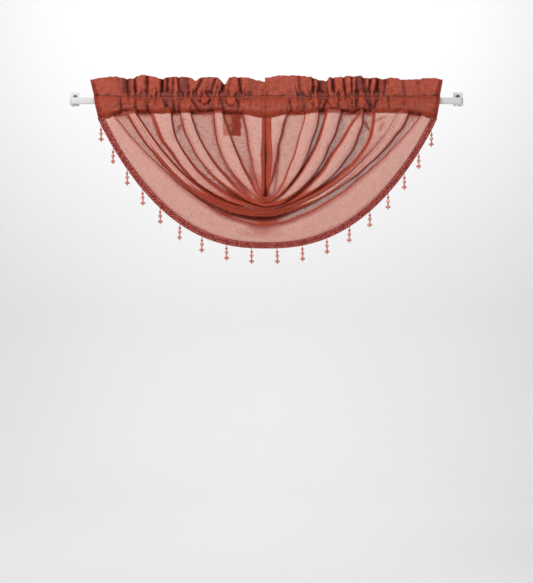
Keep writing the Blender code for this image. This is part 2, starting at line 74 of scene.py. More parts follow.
SWAG_Y = ROD_Y - 2.5 * MM

# The ruffle's top edge in mm, as (across from the centre, above the rod)
RUFFLE = {
    "left": (
        (402, 47), (374, 52), (346, 54.5), (316, 50), (278, 58), (240, 50), (227, 53.5),
        (204, 54.5), (179, 53.5), (161, 45.5), (149, 53), (113, 53.5), (96, 39), (82, 53.5),
        (46, 52.5), (19, 45.5), (4.6, 43),
    ),
    "right": (
        (-3.8, 51.5), (33, 56.5), (71, 56.5), (99, 53.5), (122, 48), (135, 44.5), (145, 53),
        (173, 53.5), (183, 56), (216, 56), (227, 51), (254, 52.5), (264, 48), (280, 51.5),
        (320, 47.5), (381, 51), (402, 47),
    ),
}
# The pockets' lower edges in mm, as (across from the centre, above the rod)
SEAM = {
    "left": (
        (384.5, -39.5), (363, -41.5), (344, -33.5), (318, -23.5), (296, -28.5), (263, -29.5),
        (241, -32), (218, -30), (196, -28.5), (167, -29.5), (122, -26), (103, -26), (95, -31),
        (58, -32), (13, -40), (0, -40),
    ),
    "right": (
        (389, -39.5), (370, -40.5), (353, -34.5), (324, -29), (303, -25.5), (290, -27.5),
        (260, -28), (241, -26.5), (228, -26), (216, -21), (197, -31), (178, -26), (152, -21.5),
        (122, -26), (88, -32.5), (49, -32.5), (10, -40), (0, -40),
    ),
}
# Creases between the gathers in mm: where each one lies at the ruffle's top, at the stitch line
# and at the pocket's lower edge, how deep it is in the ruffle and in the pocket, and its width
CREASE_COLUMNS = ("top", "stitch", "low", "ruffle", "pocket", "width")
CREASES = {
    "left": (
        (338, 333, 331, 2, 7, 4), (318, 317, 296, 5, 5, 5), (301, 299, 296, 5, 4, 4),
        (272, 273, 272, 5, 5, 4), (266, 264, 272, 0, 4, 4), (238, 239, 218, 8, 7, 4),
        (226, 228, 228, 5, 3, 5), (213, 214, 209, 4, 8, 5), (201, 199, 201, 5, 6, 4),
        (180, 176, 150, 3, 6, 4), (146, 166, 160, 4, 2, 5), (140, 150, 152, 1, 4, 4),
        (115, 130, 130, 4, 4, 5), (106, 118, 129, 3, 4, 4), (95, 106, 94, 8, 6, 5),
        (80, 92, 80, 3, 3, 5), (62, 58, 67, 5, 5, 4), (36, 36, 36, 2, 1, 5),
    ),
    "right": (
        (52, 52, 57, 1, 5, 5), (74, 79, 82, 3, 2, 5), (100, 94, 82, 1, 5, 4),
        (106, 109, 106, 5, 3, 4), (122, 121, 129, 7, 3, 6), (136, 141, 127, 3, 8, 4),
        (152, 154, 174, 6, 5, 4), (176, 182, 187, 5, 7, 4), (195, 196, 198, 4, 4, 3),
        (206, 206, 203, 4, 6, 4), (221, 218, 219, 3, 4, 4), (222, 229, 240, 3, 5, 4),
        (238, 232, 243, 5, 8, 4), (255, 252, 244, 8, 6, 4), (273, 268, 270, 4, 2, 4),
        (277, 278, 280, 1, 4, 4), (311, 318, 313, 3, 4, 5), (345, 350, 348, 2, 2, 5),
    ),
}
# Gathers: how many small creases and V-shaped pinches, a pinch's half width in mm, how far along
# the ruffle or the pocket they reach at most, and how round the creases' cross-sections are
SMALL_CREASES = 90
PINCHES = 55
PINCH_WIDTH = 2.0
GATHER_REACH = 40 * MM
LISTED_POWER = 1.25
SMALL_POWER = 1.3

# For each face: the small creases' seed, how deep the gathers are in the ruffle and in the pocket
# against the table, and how far forward of the rod's middle the stitch line lies
FACES = {
    "front": {"seed": 11, "ruffle": 1.8, "pocket": 1.1, "stitch": 1.3 * MM},
    "back": {"seed": 31, "ruffle": 1.5, "pocket": 0.4, "stitch": -1.0 * MM},
}

# The headings' grid, and the sizes of their relief forward and back of the rod's middle
HEADING_STEP = 0.9 * MM
POCKET_ROWS = 29
RUFFLE_ROWS = 26
TUCK_STEPS = 7
TUCK_DEPTH = 4.0 * MM
RUFFLE_LEAN = 5 * MM
RUFFLE_PUFF = 2.2 * MM
RUFFLE_WAVE = 0.9 * MM
LAYER_GAP = 0.7 * MM
ROD_COVER = 0.8 * MM
ROD_MARGIN = 1.7 * MM
POCKET_LOOSE = 0.3 * MM
FINE_CRUMPLE = 0.7 * MM
COARSE_CRUMPLE = 0.9 * MM
RUFFLE_RELIEF = 12 * MM
RELIEF_RISE = 24 * MM
FRONT_LIMIT = -2.2 * MM
BACK_LIMIT = -4.2 * MM
# Painted shade and highlight: from hollows, at holes, the stitch line and creases, and at partings
HOLLOW_START = 0.4 * MM
HOLLOW_DEPTH = 1.8 * MM
HOLLOW_BLUR = (4.0, 2.6)
HOLE_RISE = 3.5 * MM
STITCH_SINK = 1.7 * MM
CREASE_START = 2.5 * MM
CREASE_DARK = 7 * MM
HEADING_DEEPEST = 0.9
PARTING_SHADE_RISE = 8 * MM

# Places across the headings in mm: where the ruffle's two layers part, in grey painted shade, where
# the headings lie nearly smooth, and holes between gathers just above the seam, in painted shade
SPOT_COLUMNS = ("across", "half", "strength")
PARTING_SHADE = {
    "left": ((320, 12, 0.9), (188, 9, 0.8), (133, 6, 0.4), (30, 12, 0.3)),
    "right": ((127, 9, 0.8), (214, 11, 0.8), (262, 6, 0.5)),
}
CALM = {
    "left": ((366, 38, 0.85), (18, 22, 0.6)),
    "right": ((340, 62, 0.75), (34, 36, 0.75)),
}
HOLES = {
    "left": ((213, 9, 0.95), (277, 6, 0.7), (163, 6, 0.6), (92, 4, 0.5)),
    "right": ((129, 6, 1.0), (176, 4, 0.9), (243, 7, 1.0), (76, 4, 0.5), (190, 4, 0.8)),
}

# Raised lozenges between the gathers in mm, which also carry a painted highlight
PUFF_COLUMNS = ("across", "z", "half", "tall", "strength")
PUFFS = {
    "left": (
        (140, 3, 13, 15, 1.0), (81, 2, 14, 18, 1.0), (306, 0, 10, 26, 0.6),
        (262, -10, 9, 16, 0.4), (176, -6, 8, 22, 0.5), (112, -2, 7, 26, 0.4),
    ),
    "right": (
        (152, -2, 14, 30, 0.9), (217, -3, 11, 32, 0.9), (113, 0, 13, 20, 0.7),
        (186, -6, 7, 24, 0.4), (243, 4, 7, 20, 0.4), (64, -8, 10, 22, 0.35),
    ),
}
PUFF_RISE = 3.6 * MM
PUFF_RIM = 2.2 * MM

# Fold lines from the outer edge to the inner hem, in mm, close to the part's: where a line
# leaves the pocket and its two exponents on each side, its lowest point, and how far the band
# inside it stands forward at the left pocket, the centre and the right pocket. Then half the
# width of the turn in the cloth at the line in the same three places, how much of the cloth
# inside the line is stacked up where the band narrows, and how far from the centre the band is
# rolled up thick on each side
FOLD_COLUMNS = (
    "left", "left_round", "left_fall", "right", "right_round", "right_fall", "drop", "tip",
    "left_forward", "centre_forward", "right_forward", "left_wall", "centre_wall", "right_wall",
    "stack", "left_roll", "right_roll",
)
FOLDS = (
    (384.5, 2.45, 0.95, 389, 2.4, 0.94, 337, 0, 0, 0, 0, 0, 0, 0, 0, 0, 0),
    (349, 1.7, 1.02, 353, 1.75, 0.97, 285.1, -12, -4, -3, -4, 1.1, 0.9, 1.1, 0.1, 45, 60),
    (316, 2.25, 0.95, 324, 1.65, 0.78, 259.7, -6, 6, 8, 4, 3.4, 6.0, 3.0, 1, 330, 120),
    (309, 2.2, 0.97, 303, 1.9, 0.87, 255, -4, 5, 8, 2.8, 1.6, 2.0, 1.4, 1, 205, 110),
    (304, 2.2, 1.0, 297, 1.8, 0.82, 250, -4, 6, 8, 4.2, 1.6, 2.0, 1.8, 1, 175, 95),
    (297, 2.35, 1.05, 246, 1.45, 0.48, 242.5, -2, -6, 8, -5, 3.0, 2.0, 4.4, 0.15, 60, 50),
    (261, 2.45, 0.83, 221, 1.85, 0.58, 239.3, -2, 6, 8, 6, 8.5, 2.0, 2.6, 1, 60, 50),
    (217, 1.8, 0.58, 213, 2.25, 1.25, 238.1, -2, -6, -4, -6, 2.1, 2.0, 4.4, 0.15, 0, 0),
    (196, 1.6, 0.63, 170, 2.05, 0.78, 236.8, -2, 6, 8, 6, 1.8, 2.0, 2.3, 1, 60, 30),
    (172, 1.65, 0.75, 136, 1.55, 0.73, 231.1, -2, -6, 7, -6, 2.1, 4.0, 4.2, 0.15, 50, 25),
    (120, 1.3, 0.48, 120, 1.8, 0.75, 228.7, -2, 6, 7, 6, 2.0, 3.0, 2.0, 1, 50, 20),
    (100, 1.5, 1.0, 89, 1.9, 1.0, 225.5, -2, -6, 6, -2, 2.0, 3.0, 1.6, 0.2, 45, 25),
    (54, 2.05, 1.28, 49, 1.6, 1.62, 222.3, -2.5, 5, 5, 5, 1.8, 2.0, 5.6, 1, 55, 25),
    (4.2, 8.0, 1.0, -1.8, 8.0, 1.0, 219, -3.0, 0, 0, 0, 0, 0, 0, 1, 0, 0),
)
BANDS = len(FOLDS) - 1

# The swag's grid: rows along a fold line and columns across a turn, a band and a hem
ROWS = 280
WALL_STEPS = 4
BAND_STEPS = 7
HEM_STEPS = 3
SEAM_ROWS = 6
SEAM_RISE = 13 * MM
OVERLAP = 5.5 * MM
OVERLAP_BACK = 3.0 * MM
OVERLAP_STEPS = 4

# At each row: its share of the way along the line, how near the middle it is, and its share of
# the way from the nearer pocket
ALONG = np.arange(ROWS + 1) / ROWS
MIDDLE = np.sin(np.pi * ALONG)
FROM_END = np.minimum(ALONG, 1 - ALONG)
ON_LEFT = ALONG < 0.5

# The swag's shape
LEAN = 1.0
PILE = 26 * MM
POCKET_WAVE_SHARE = 0.75
CENTRE_SHARPNESS = 22
LEFT_HEM = 6.5 * MM
RIGHT_HEM = 13 * MM
HEM_EDGE = 0.4 * MM
BACK_DEPTH = 4 * MM
FULL_STEP = 4 * MM
CREST = 4.5 * MM
CREST_MOST = 0.15
TROUGH = 2.0 * MM
TROUGH_MOST = 0.1
CALM_WIDTH = 20 * MM
COARSE_RIPPLE = 1.0 * MM
COARSE_ACROSS = 14
COARSE_ALONG = 150
FINE_RIPPLE = 0.5 * MM
WIDE_TURN = 3 * MM
KINK = 1.1 * MM
KINK_MOST = 0.12
WALL_SHARE = 0.85
WALL_LEAST = 0.5 * MM
WALL_MOST = 0.36

# How many layers the swag's cloth counts for
TURN_LAYERS = 1.3
DEEP_LAYERS = 3.2
ROLL_LAYERS = 3.0
HEM_LAYERS = 2.4
EDGE_LAYERS = 1.2
LAYERS_IN_SEAM = 2.6
STACK_FROM = 0.62
STACK_MOST = 3.0
ROLL_FADE = 75 * MM
WIDE_ROLL = 150
TIP_REACH = 20 * MM
TIP_BANDS = 4

# How dark the swag's painted shade in folds and shadows is, from 0 to 1, and how far it reaches
NEAR_SHADE = 0.15
FAR_SHADE = 0.2
FAR_LEVEL_SHADE = 0.35
NARROW_SHADE = 0.65
NARROW_FROM = 0.6 * MM
NARROW_TO = 2.4 * MM
UNDER_SHADE = 0.55
UNDER_TIP_SHADE = 0.4
CREASE_REACH = 1.5 * MM
CREST_SHADE = 0.32
CREST_SHADE_REACH = 3.2 * MM
DARK_DENT = 5 * MM
DENT_SHADE = 0.45
SEAM_SHADE = 0.45
SEAM_SHADE_REACH = 0.004
ROLL_DEEP = 0.36
TIP_DEEP = 0.4
HEM_DEEP = 0.15
DEEP_IN_SEAM = 0.4
# A painted highlight along the hems' inner edges by the loop: its height, reach, width and strength
RIM_HEIGHT = -217 * MM
RIM_TALL = 9 * MM
RIM_WIDTH = 2.6 * MM
RIM_LIGHT = 1.5

# The centre opening in mm, as (height, how far each hem's edge stands off its own line). It ends
# below in a drop-shaped loop
SLIT = (
    (-226, 1.5), (-221, 5.4), (-215, 6.4), (-206, 3.8), (-193, 1.6), (-175, 0.8), (-154, 0.7),
    (-140, 1.6), (-122, 2.7), (-104, 1.5), (-86, 0.2), (-40, 0.0),
)
# Short dents in the swag in mm: middle across and up, half length, half width, turn in degrees
# from level, depth
DENT_COLUMNS = ("x", "z", "long", "wide", "turn", "depth")
DENTS = (
    (-14, -303, 40, 4.5, 0, 1.0),
    (258, -43, 16, 2.6, 24, 1.6),
    (262, -60, 12, 3, 60, 1.5),
    (229, -55, 17, 2.2, -62, 2.4),
    (-196, -56, 14, 3.5, 60, 2.0),
    (24, -165, 46, 2.4, 83, 2.4),
)

# Stitches: length, gap between two, thickness and height, and a stitch's form as (share of its
# length, share of its radius)
STITCH_LENGTH = 2.2 * MM
STITCH_SPACE = 1.1 * MM
STITCH_RADIUS = 0.18 * MM
STITCH_PROUD = 0.1 * MM
STITCH_SIDES = 5
STITCH_FORM = ((0.0, 0.35), (0.25, 1.0), (0.75, 1.0), (1.0, 0.35))

# Braid and bead drops
TRIM_WIDTH = 14.5 * MM
TRIM_THICKNESS = 1.6 * MM
TRIM_PITCH = 6.4 * MM
TRIM_WAVE = 0.35 * MM
TRIM_ROWS = 1600
TRIM_COLUMNS = 17
CLOTH_SETBACK = 1.0 * MM
DROPS = 18

# A drop in mm. Its seed beads are (below its top, radius, slot), and its thread and its turned
# beads are profiles of (height, radius)
ROSE, RUST, SEWING = 0, 1, 2
THREAD = ((1.2, 0.5), (-33.5, 0.5))
SEED_BEADS = (
    (1.2, 1.3, RUST),
    (3.4, 1.2, ROSE),
    (11.8, 1.7, RUST),
    (21.8, 2.0, RUST),
    (24.6, 2.1, ROSE),
)
BICONE = ((-3.4, 1.0), (-0.5, 3.5), (0.5, 3.5), (3.4, 1.0))
TIP_BEAD = ((-1.5, 0.4), (-0.4, 1.2), (0.6, 1.2), (1.6, 0.6))

# Label
LABEL_WIDTH = 41 * MM
LABEL_HEIGHT = 47 * MM
LABEL_LEFT = -100 * MM
LABEL_BEHIND_ROD = 5.4 * MM
LABEL_TILT = 6 * MM
LABEL_BOW = 0.8 * MM
LABEL_RIPPLE = 0.3 * MM
LABEL_STREAK = 5.2 * MM
LABEL_GRID = (29, 33)
LABEL_SHADE = 0.56
STREAK_SHADE = 0.1

# Studio, in metres
FLOOR_Z = -1.45
WALL_Y = 3.4
SWEEP_BEND = 0.9
SWEEP_HALF = 5.0
SWEEP_FRONT_Y = -6.0
SWEEP_TOP_Z = 3.6
CAMERA_DISTANCE = 2.2
CAMERA_Z = -0.436
FRAME_WIDTH = 1.333
SENSOR = 36

# Colours of both cloths: near and single, dense, painted shade in a fold, painted shade far back
SWAG_COLOURS = (
    (0.575, 0.104, 0.02),
    (0.44, 0.067, 0.036),
    (0.19, 0.025, 0.015),
    (0.465, 0.093, 0.022),
)
HEADING_COLOURS = (
    (0.49, 0.078, 0.037),
    (0.31, 0.047, 0.031),
    (0.17, 0.024, 0.014),
    (0.16, 0.042, 0.034),
)


def as_dicts(columns, rows):
    """Rows of a table as dictionaries with the columns' names."""
    return [dict(zip(columns, row)) for row in rows]


def smooth(t):
    """Ease from 0 to 1, for one value or an array."""
    t = np.clip(t, 0.0, 1.0)
    return t * t * (3 - 2 * t)


def between(a, b, share):
    """The value that share of the way from a to b."""
    return a + (b - a) * share


def bell(away, power=2):
    """1 where a distance is 0, falling off to 0 on both sides."""
    return np.exp(-(np.abs(away) ** power))


def knots(x, places, values):
    """Smooth curve through values at rising places."""
    result = np.broadcast_to(values[-1], x.shape)
    for k in range(len(places) - 2, -1, -1):
        t = (x - places[k]) / (places[k + 1] - places[k])
        piece = between(values[k], values[k + 1], smooth(t))
        result = np.where(x <= places[k + 1], piece, result)
    return result


def table_curve(rows, x):
    """The same through a table's rows of (place, value)."""
    return knots(x, *zip(*sorted(rows)))


def ripples(across, along, seed, short, long, count=20):
    """Irregular waves between two wavelengths, mostly within -1 and 1."""
    draw = random.Random(seed)
    total = np.zeros(np.broadcast(across, along).shape)
    for _ in range(count):
        turn = draw.uniform(0, math.pi)
        size = 2 * math.pi / draw.uniform(short, long)
        phase = draw.uniform(0, 2 * math.pi)
        total += np.sin(size * (across * math.cos(turn) + along * math.sin(turn)) + phase)
    return total * 0.6 / math.sqrt(count / 2)


def running(points):
    """Length along a path at each of its points."""
    step = np.linalg.norm(np.diff(points, axis=0), axis=1)
    return np.concatenate(([0.0], np.cumsum(step)))


def evenly(points, count):
    """The same path with count points at even steps along its length."""
    length = running(points)
    want = np.linspace(0, length[-1], count)
    return np.column_stack([np.interp(want, length, points[:, k]) for k in (0, 1)])


def pocket_bottom(x, side):
    """Height of the pocket's lower edge."""
    half_width = FOLDS[0][FOLD_COLUMNS.index(side)] * MM
    t = np.minimum(np.abs(x) / half_width, 1.0)
    return -POCKET_DROP - POCKET_END_DROP * np.abs(2 * t - 1) ** 4


def fold_half(fold, side, samples=400):
    """One half of a fold line from its tip to the pocket, as an array of (x, z)."""
    u = np.sin(np.pi / 2 * np.arange(samples + 1) / samples)
    sign = -1 if side == "left" else 1
    pocket_x = sign * fold[side] * MM
    top = pocket_bottom(pocket_x, side) - SEAM_GAP
    fall = fold["drop"] * MM + top
    depth = (1 - u ** fold[side + "_round"]) ** fold[side + "_fall"]
    return np.column_stack((between(fold["tip"] * MM, pocket_x, u), top - fall * depth))


def fold_line(fold, count):
    """A whole fold line from the left pocket to the right one."""
    left = evenly(fold_half(fold, "left")[::-1], count // 2 + 1)
    right = evenly(fold_half(fold, "right"), count // 2 + 1)
    return np.vstack((left, right[1:]))


def linked(name, data):
    """A new object in the scene."""
    obj = bpy.data.objects.new(name, data)
    bpy.context.scene.collection.objects.link(obj)
    return obj


def grid_mesh(name, points, mat, uv=None, values=None):
    """A smooth mesh from a grid of points (columns, rows, 3), with its cloth coordinates."""
    columns, rows = points.shape[:2]
    mesh = bpy.data.meshes.new(name)
    index = np.arange(columns * rows).reshape(columns, rows)
    quads = np.stack((index[:-1, :-1], index[1:, :-1], index[1:, 1:], index[:-1, 1:]), axis=-1)
    mesh.from_pydata(points.reshape(-1, 3).tolist(), [], quads.reshape(-1, 4).tolist())
    mesh.shade_smooth()
    if uv is not None:
        layer = mesh.uv_layers.new(name="cloth")
        loops = np.zeros(len(mesh.loops), dtype=np.int32)
        mesh.loops.foreach_get("vertex_index", loops)
        layer.data.foreach_set("uv", uv.reshape(-1, 2)[loops].astype(np.float32).ravel())
    for key, value in (values or {}).items():
        layer = mesh.attributes.new(key, "FLOAT", "POINT")
        layer.data.foreach_set("value", np.ascontiguousarray(value.reshape(-1), dtype=np.float32))
    mesh.materials.append(mat)
    return linked(name, mesh)


def skin(bm, rings):
    """Side faces between closed rings of vertices."""
    faces = []
    for a, b in zip(rings, rings[1:]):
        for k in range(len(a)):
            j = (k + 1) % len(a)
            faces.append(bm.faces.new((a[k], a[j], b[j], b[k])))
    return faces


def ring_of(bm, centre, side, out, sides, turned=0.0):
    """A closed ring of vertices about a centre, from its two half axes."""
    ring = []
    for k in range(sides):
        turn = 2 * math.pi * (k + turned) / sides
        ring.append(bm.verts.new(centre + side * math.cos(turn) + out * math.sin(turn)))
    return ring


def closed(bm, rings):
    """Faces of the solid that a row of rings bounds."""
    return skin(bm, rings) + [bm.faces.new(rings[0][::-1]), bm.faces.new(rings[-1])]


def solid_mesh(name, bm, mats):
    """An object from closed solids, with their faces turned outward."""
    bmesh.ops.recalc_face_normals(bm, faces=bm.faces)
    mesh = bpy.data.meshes.new(name)
    bm.to_mesh(mesh)
    bm.free()
    for mat in mats:
        mesh.materials.append(mat)
    return linked(name, mesh)


def lean_of(points):
    """How much denser a sheer sheet looks from the front where it turns away: 1 / |normal y|."""
    normal = np.cross(np.gradient(points, axis=0), np.gradient(points, axis=1))
    size = np.linalg.norm(normal, axis=2) + 1e-12
    return np.clip(size / (np.abs(normal[:, :, 1]) + 1e-12), 1.0, 6.0)


def cloth_lengths(points):
    """Real lengths along a grid's two directions, as cloth coordinates in metres."""
    across = np.linalg.norm(np.diff(points, axis=0), axis=2)
    along = np.linalg.norm(np.diff(points, axis=1), axis=2)
    u = np.pad(np.cumsum(across, axis=0), ((1, 0), (0, 0)))
    v = np.pad(np.cumsum(along, axis=1), ((0, 0), (1, 0)))
    return np.stack((u, v), axis=-1)


class Graph:
    """Shortens the making of a material's nodes."""

    def __init__(self, name):
        self.mat = bpy.data.materials.new(name)
        self.mat.use_nodes = True
        self.tree = self.mat.node_tree
        self.shader = self.tree.nodes["Principled BSDF"]

    def put(self, socket, value):
        if isinstance(value, bpy.types.NodeSocket):
            self.tree.links.new(value, socket)
        else:
            socket.default_value = value

    def node(self, kind, inputs=None, **settings):
        made = self.tree.nodes.new(kind)
        for key, value in settings.items():
            setattr(made, key, value)
        for key, value in (inputs or {}).items():
            self.put(made.inputs[key], value)
        return made

    def math(self, operation, a, b, clamp=False):
        made = self.node("ShaderNodeMath", {0: a, 1: b}, operation=operation)
        made.use_clamp = clamp
        return made.outputs[0]

    def times(self, a, b):
        return self.math("MULTIPLY", a, b)

    def plus(self, a, b, clamp=False):
        return self.math("ADD", a, b, clamp)

    def minus(self, a, b, clamp=False):
        return self.math("SUBTRACT", a, b, clamp)

    def line(self, start, slope, value):
        return self.plus(start, self.times(value, slope))

    def mix(self, share, a, b):
        made = self.node("ShaderNodeMix", {0: share, 6: a, 7: b}, data_type="RGBA")
        return made.outputs[2]

    def place(self, kind="Object"):
        return self.node("ShaderNodeTexCoord").outputs[kind]

    def attribute(self, name):
        return self.node("ShaderNodeAttribute", attribute_name=name).outputs["Fac"]

    def range(self, value, low, high, to_low, to_high):
        keys = ("Value", "From Min", "From Max", "To Min", "To Max")
        inputs = dict(zip(keys, (value, low, high, to_low, to_high)))
        return self.node("ShaderNodeMapRange", inputs).outputs["Result"]

    def noise(self, vector, scale, detail=2.0, rough=0.5):
        inputs = {"Vector": vector, "Scale": scale, "Detail": detail, "Roughness": rough}
        return self.node("ShaderNodeTexNoise", inputs).outputs["Fac"]

    def dots(self, vector, spacing):
        inputs = {"Vector": vector, "Scale": 1.0 / spacing, "Randomness": 0.85}
        away = self.node("ShaderNodeTexVoronoi", inputs).outputs["Distance"]
        return self.range(away, 0.14, 0.46, 1.0, 0.0)

    def bands(self, vector, period, direction, distortion=0.0):
        """Threads of a period in metres."""
        scale = 2 * math.pi / (20 * period)
        inputs = {"Vector": vector, "Scale": scale, "Distortion": distortion, "Detail": 1.0}
        return self.node("ShaderNodeTexWave", inputs, bands_direction=direction).outputs["Fac"]

    def bump(self, height, strength, depth):
        inputs = {"Height": height, "Strength": strength, "Distance": depth}
        return self.node("ShaderNodeBump", inputs).outputs["Normal"]

    def finish(self, **inputs):
        for key, value in inputs.items():
            self.put(self.shader.inputs[key.replace("_", " ")], value)
        return self.mat


def voile(name, cover, pale, rich, painted_shade, far):
    """Sheer crinkled cloth: denser where it turns away or lies double, grainier far back."""
    # Attributes carry painted shade far back and deep in folds, and a painted highlight on ridges
    # and rims
    g = Graph(name)
    uv = g.place("UV")
    warp = g.bands(uv, 0.62 * MM, "X", 1.2)
    weft = g.bands(uv, 0.713 * MM, "Y", 1.2)
    weave = g.times(g.plus(warp, weft), 0.5)
    grain = g.dots(uv, 3.1 * MM)
    slub = g.range(g.noise(uv, 70.0), 0.3, 0.7, -1.0, 1.0)
    recess_shade = g.attribute("recess_shade")
    rough_share = g.line(0.95, 0.45, recess_shade)
    layers = g.times(g.attribute("lean"), g.attribute("layers"))
    # How much one layer covers, and several
    speckle = g.times(g.times(grain, rough_share), 0.2)
    speckle = g.plus(speckle, g.times(g.minus(weave, 0.5), 0.25))
    one = g.math("MINIMUM", g.plus(cover, speckle, clamp=True), 0.97)
    one = g.plus(one, g.times(recess_shade, 0.055))
    alpha = g.minus(1.0, g.math("POWER", g.minus(1.0, one), layers), clamp=True)
    # Colour by density, painted shade far back and in folds, and a painted highlight on ridges
    dense = g.range(layers, 1.05, 1.9, 0.0, 1.0)
    colour = g.mix(dense, g.mix(recess_shade, (*pale, 1), (*far, 1)), (*rich, 1))
    colour = g.mix(g.attribute("painted_shade"), colour, (*painted_shade, 1))
    dots = g.times(g.times(grain, rough_share), -0.5)
    tone = g.plus(g.line(1.0, 0.07, slub), dots)
    tone = g.plus(tone, g.times(g.attribute("proud"), 0.22))
    tone = g.minus(tone, g.range(g.attribute("painted_shade"), 0.75, 1.0, 0.0, 0.55))
    shade = g.node("ShaderNodeHueSaturation", {"Value": tone, "Color": colour}).outputs["Color"]
    height = g.plus(g.times(weave, 0.4), g.times(grain, 0.4))
    normal = g.bump(height, 0.35, 0.4 * MM)
    g.finish(Base_Color=shade, Roughness=g.line(0.72, 0.08, slub), Alpha=alpha, Normal=normal)
    g.finish(Sheen_Weight=0.03, Sheen_Roughness=0.5, Sheen_Tint=(0.9, 0.5, 0.3, 1))
    return g.finish(Specular_IOR_Level=0.06)


def braid():
    """Gimp braid: shiny dark cords with paler flecks; painted shade in the grooves."""
    g = Graph("rust_gimp")
    uv = g.place("UV")
    relief = g.attribute("relief")
    fleck = g.noise(uv, 300.0, 2.0, 0.6)
    strand = g.bands(uv, 0.5 * MM, "DIAGONAL", 2.0)
    patch = g.times(g.minus(fleck, 0.56), 7.0)
    # Painted highlight on the raised cords and painted shade in the grooves, plus the paler flecks
    light = g.plus(g.range(relief, 0.3, 0.95, 0.0, 0.9), patch, clamp=True)
    colour = g.mix(light, (0.13, 0.009, 0.010, 1), (0.86, 0.22, 0.17, 1))
    colour = g.mix(g.times(strand, 0.2), colour, (0.30, 0.03, 0.025, 1))
    normal = g.bump(g.plus(strand, g.times(fleck, 0.8)), 0.5, 0.4 * MM)
    g.finish(Base_Color=colour, Roughness=g.line(0.42, 0.25, fleck), Normal=normal)
    return g.finish(Sheen_Weight=0.02, Sheen_Roughness=0.4, Specular_IOR_Level=0.12)


def bead(name, tone, clear):
    """Translucent acrylic with faint cloudiness inside."""
    g = Graph(name)
    place = g.place()
    cloud = g.noise(place, 260.0)
    pale = tuple(min(1.0, c * 1.35 + 0.05) for c in tone)
    colour = g.mix(cloud, (*tone, 1), (*pale, 1))
    rough = g.line(0.08, 0.12, g.noise(place, 900.0))
    g.finish(Base_Color=colour, Roughness=rough, Normal=g.bump(cloud, 0.12, 0.2 * MM))
    return g.finish(Transmission_Weight=clear, IOR=1.46)


def thread(name, tone):
    """Twisted sewing thread."""
    g = Graph(name)
    twist = g.bands(g.place(), 0.5 * MM, "DIAGONAL")
    colour = g.mix(twist, (*tone, 1), (*(c * 0.55 for c in tone), 1))
    g.finish(Base_Color=colour, Roughness=0.7, Normal=g.bump(twist, 0.5, 0.1 * MM))
    return g.finish(Specular_IOR_Level=0.08)


def enamel(name, tone, wear=0.03):
    """White enamel on sheet metal: faint orange-peel and a trace of handling."""
    g = Graph(name)
    place = g.place()
    peel = g.noise(place, 700.0)
    smear = g.noise(place, 28.0, 4.0, 0.6)
    colour = g.mix(smear, (*tone, 1), (*(c * (1 - wear) for c in tone), 1))
    rough = g.line(0.26, 0.16, smear)
    return g.finish(Base_Color=colour, Roughness=rough, Normal=g.bump(peel, 0.08, 0.1 * MM))


def steel():
    """Darkened screw steel with turning marks."""
    g = Graph("screw_steel")
    marks = g.noise(g.place(), 1500.0, 3.0)
    colour = g.mix(marks, (0.10, 0.095, 0.09, 1), (0.22, 0.21, 0.20, 1))
    return g.finish(Base_Color=colour, Roughness=g.line(0.3, 0.25, marks), Metallic=1.0)


def ribbon():
    """Plain satin ribbon of the blank label, with painted shade over its right half."""
    g = Graph("label_ribbon")
    uv = g.place("UV")
    threads = g.bands(uv, 0.45 * MM, "Y", 0.6)
    mottle = g.noise(uv, 90.0, 3.0)
    colour = g.mix(threads, (0.86, 0.80, 0.88, 1), (0.56, 0.50, 0.56, 1))
    colour = g.mix(g.times(mottle, 0.3), colour, (0.34, 0.30, 0.34, 1))
    across = g.node("ShaderNodeSeparateXYZ", {0: uv}).outputs["X"]
    # Painted shade in streaks over the right half, which is also more opaque
    shaded_half = g.range(across, 0.4 * LABEL_WIDTH, 0.6 * LABEL_WIDTH, 0.0, 1.0)
    streak = g.range(g.bands(uv, 4.2 * MM, "Y", 2.5), 0.2, 0.8, 0.5, 1.0)
    colour = g.mix(g.times(shaded_half, streak), colour, (0.10, 0.09, 0.11, 1))
    normal = g.bump(threads, 0.4, 0.1 * MM)
    rough, cover = g.line(0.35, 0.2, mottle), g.line(0.72, 0.2, shaded_half)
    return g.finish(Base_Color=colour, Roughness=rough, Alpha=cover, Normal=normal)


def end_value(fold, key):
    """A fold's value at each row in metres, blended from its pocket ends to the centre."""
    end = np.where(ON_LEFT, fold["left_" + key], fold["right_" + key])
    return MM * between(end, fold["centre_" + key], MIDDLE**CENTRE_SHARPNESS)


def wobbled(lines):
    """Fold lines with the small kinks of hand-dressed cloth, never crossing their neighbours."""
    result = lines.copy()
    gap = np.linalg.norm(np.diff(lines, axis=0), axis=2)
    for j in range(1, len(lines) - 1):
        room = np.minimum(gap[j - 1], gap[j])
        along = np.gradient(lines[j], axis=0)
        step = np.linalg.norm(along, axis=1)
        length = np.cumsum(step)
        kink = ripples(length / MM, np.zeros_like(length), 40 + j, 38, 150, 9)
        kink *= np.minimum(KINK, KINK_MOST * room) * smooth(FROM_END / 0.05)
        across = np.column_stack((-along[:, 1], along[:, 0])) / (step[:, None] + 1e-12)
        result[j] += across * kink[:, None]
    bow = slit_half(lines[-1, :, 1])
    result[-1, :, 0] += np.where(ON_LEFT, -bow, bow)
    return result


def slit_half(z):
    """How far each inner hem stands off its own line, which opens the slit between them."""
    return MM * table_curve(SLIT, z / MM)


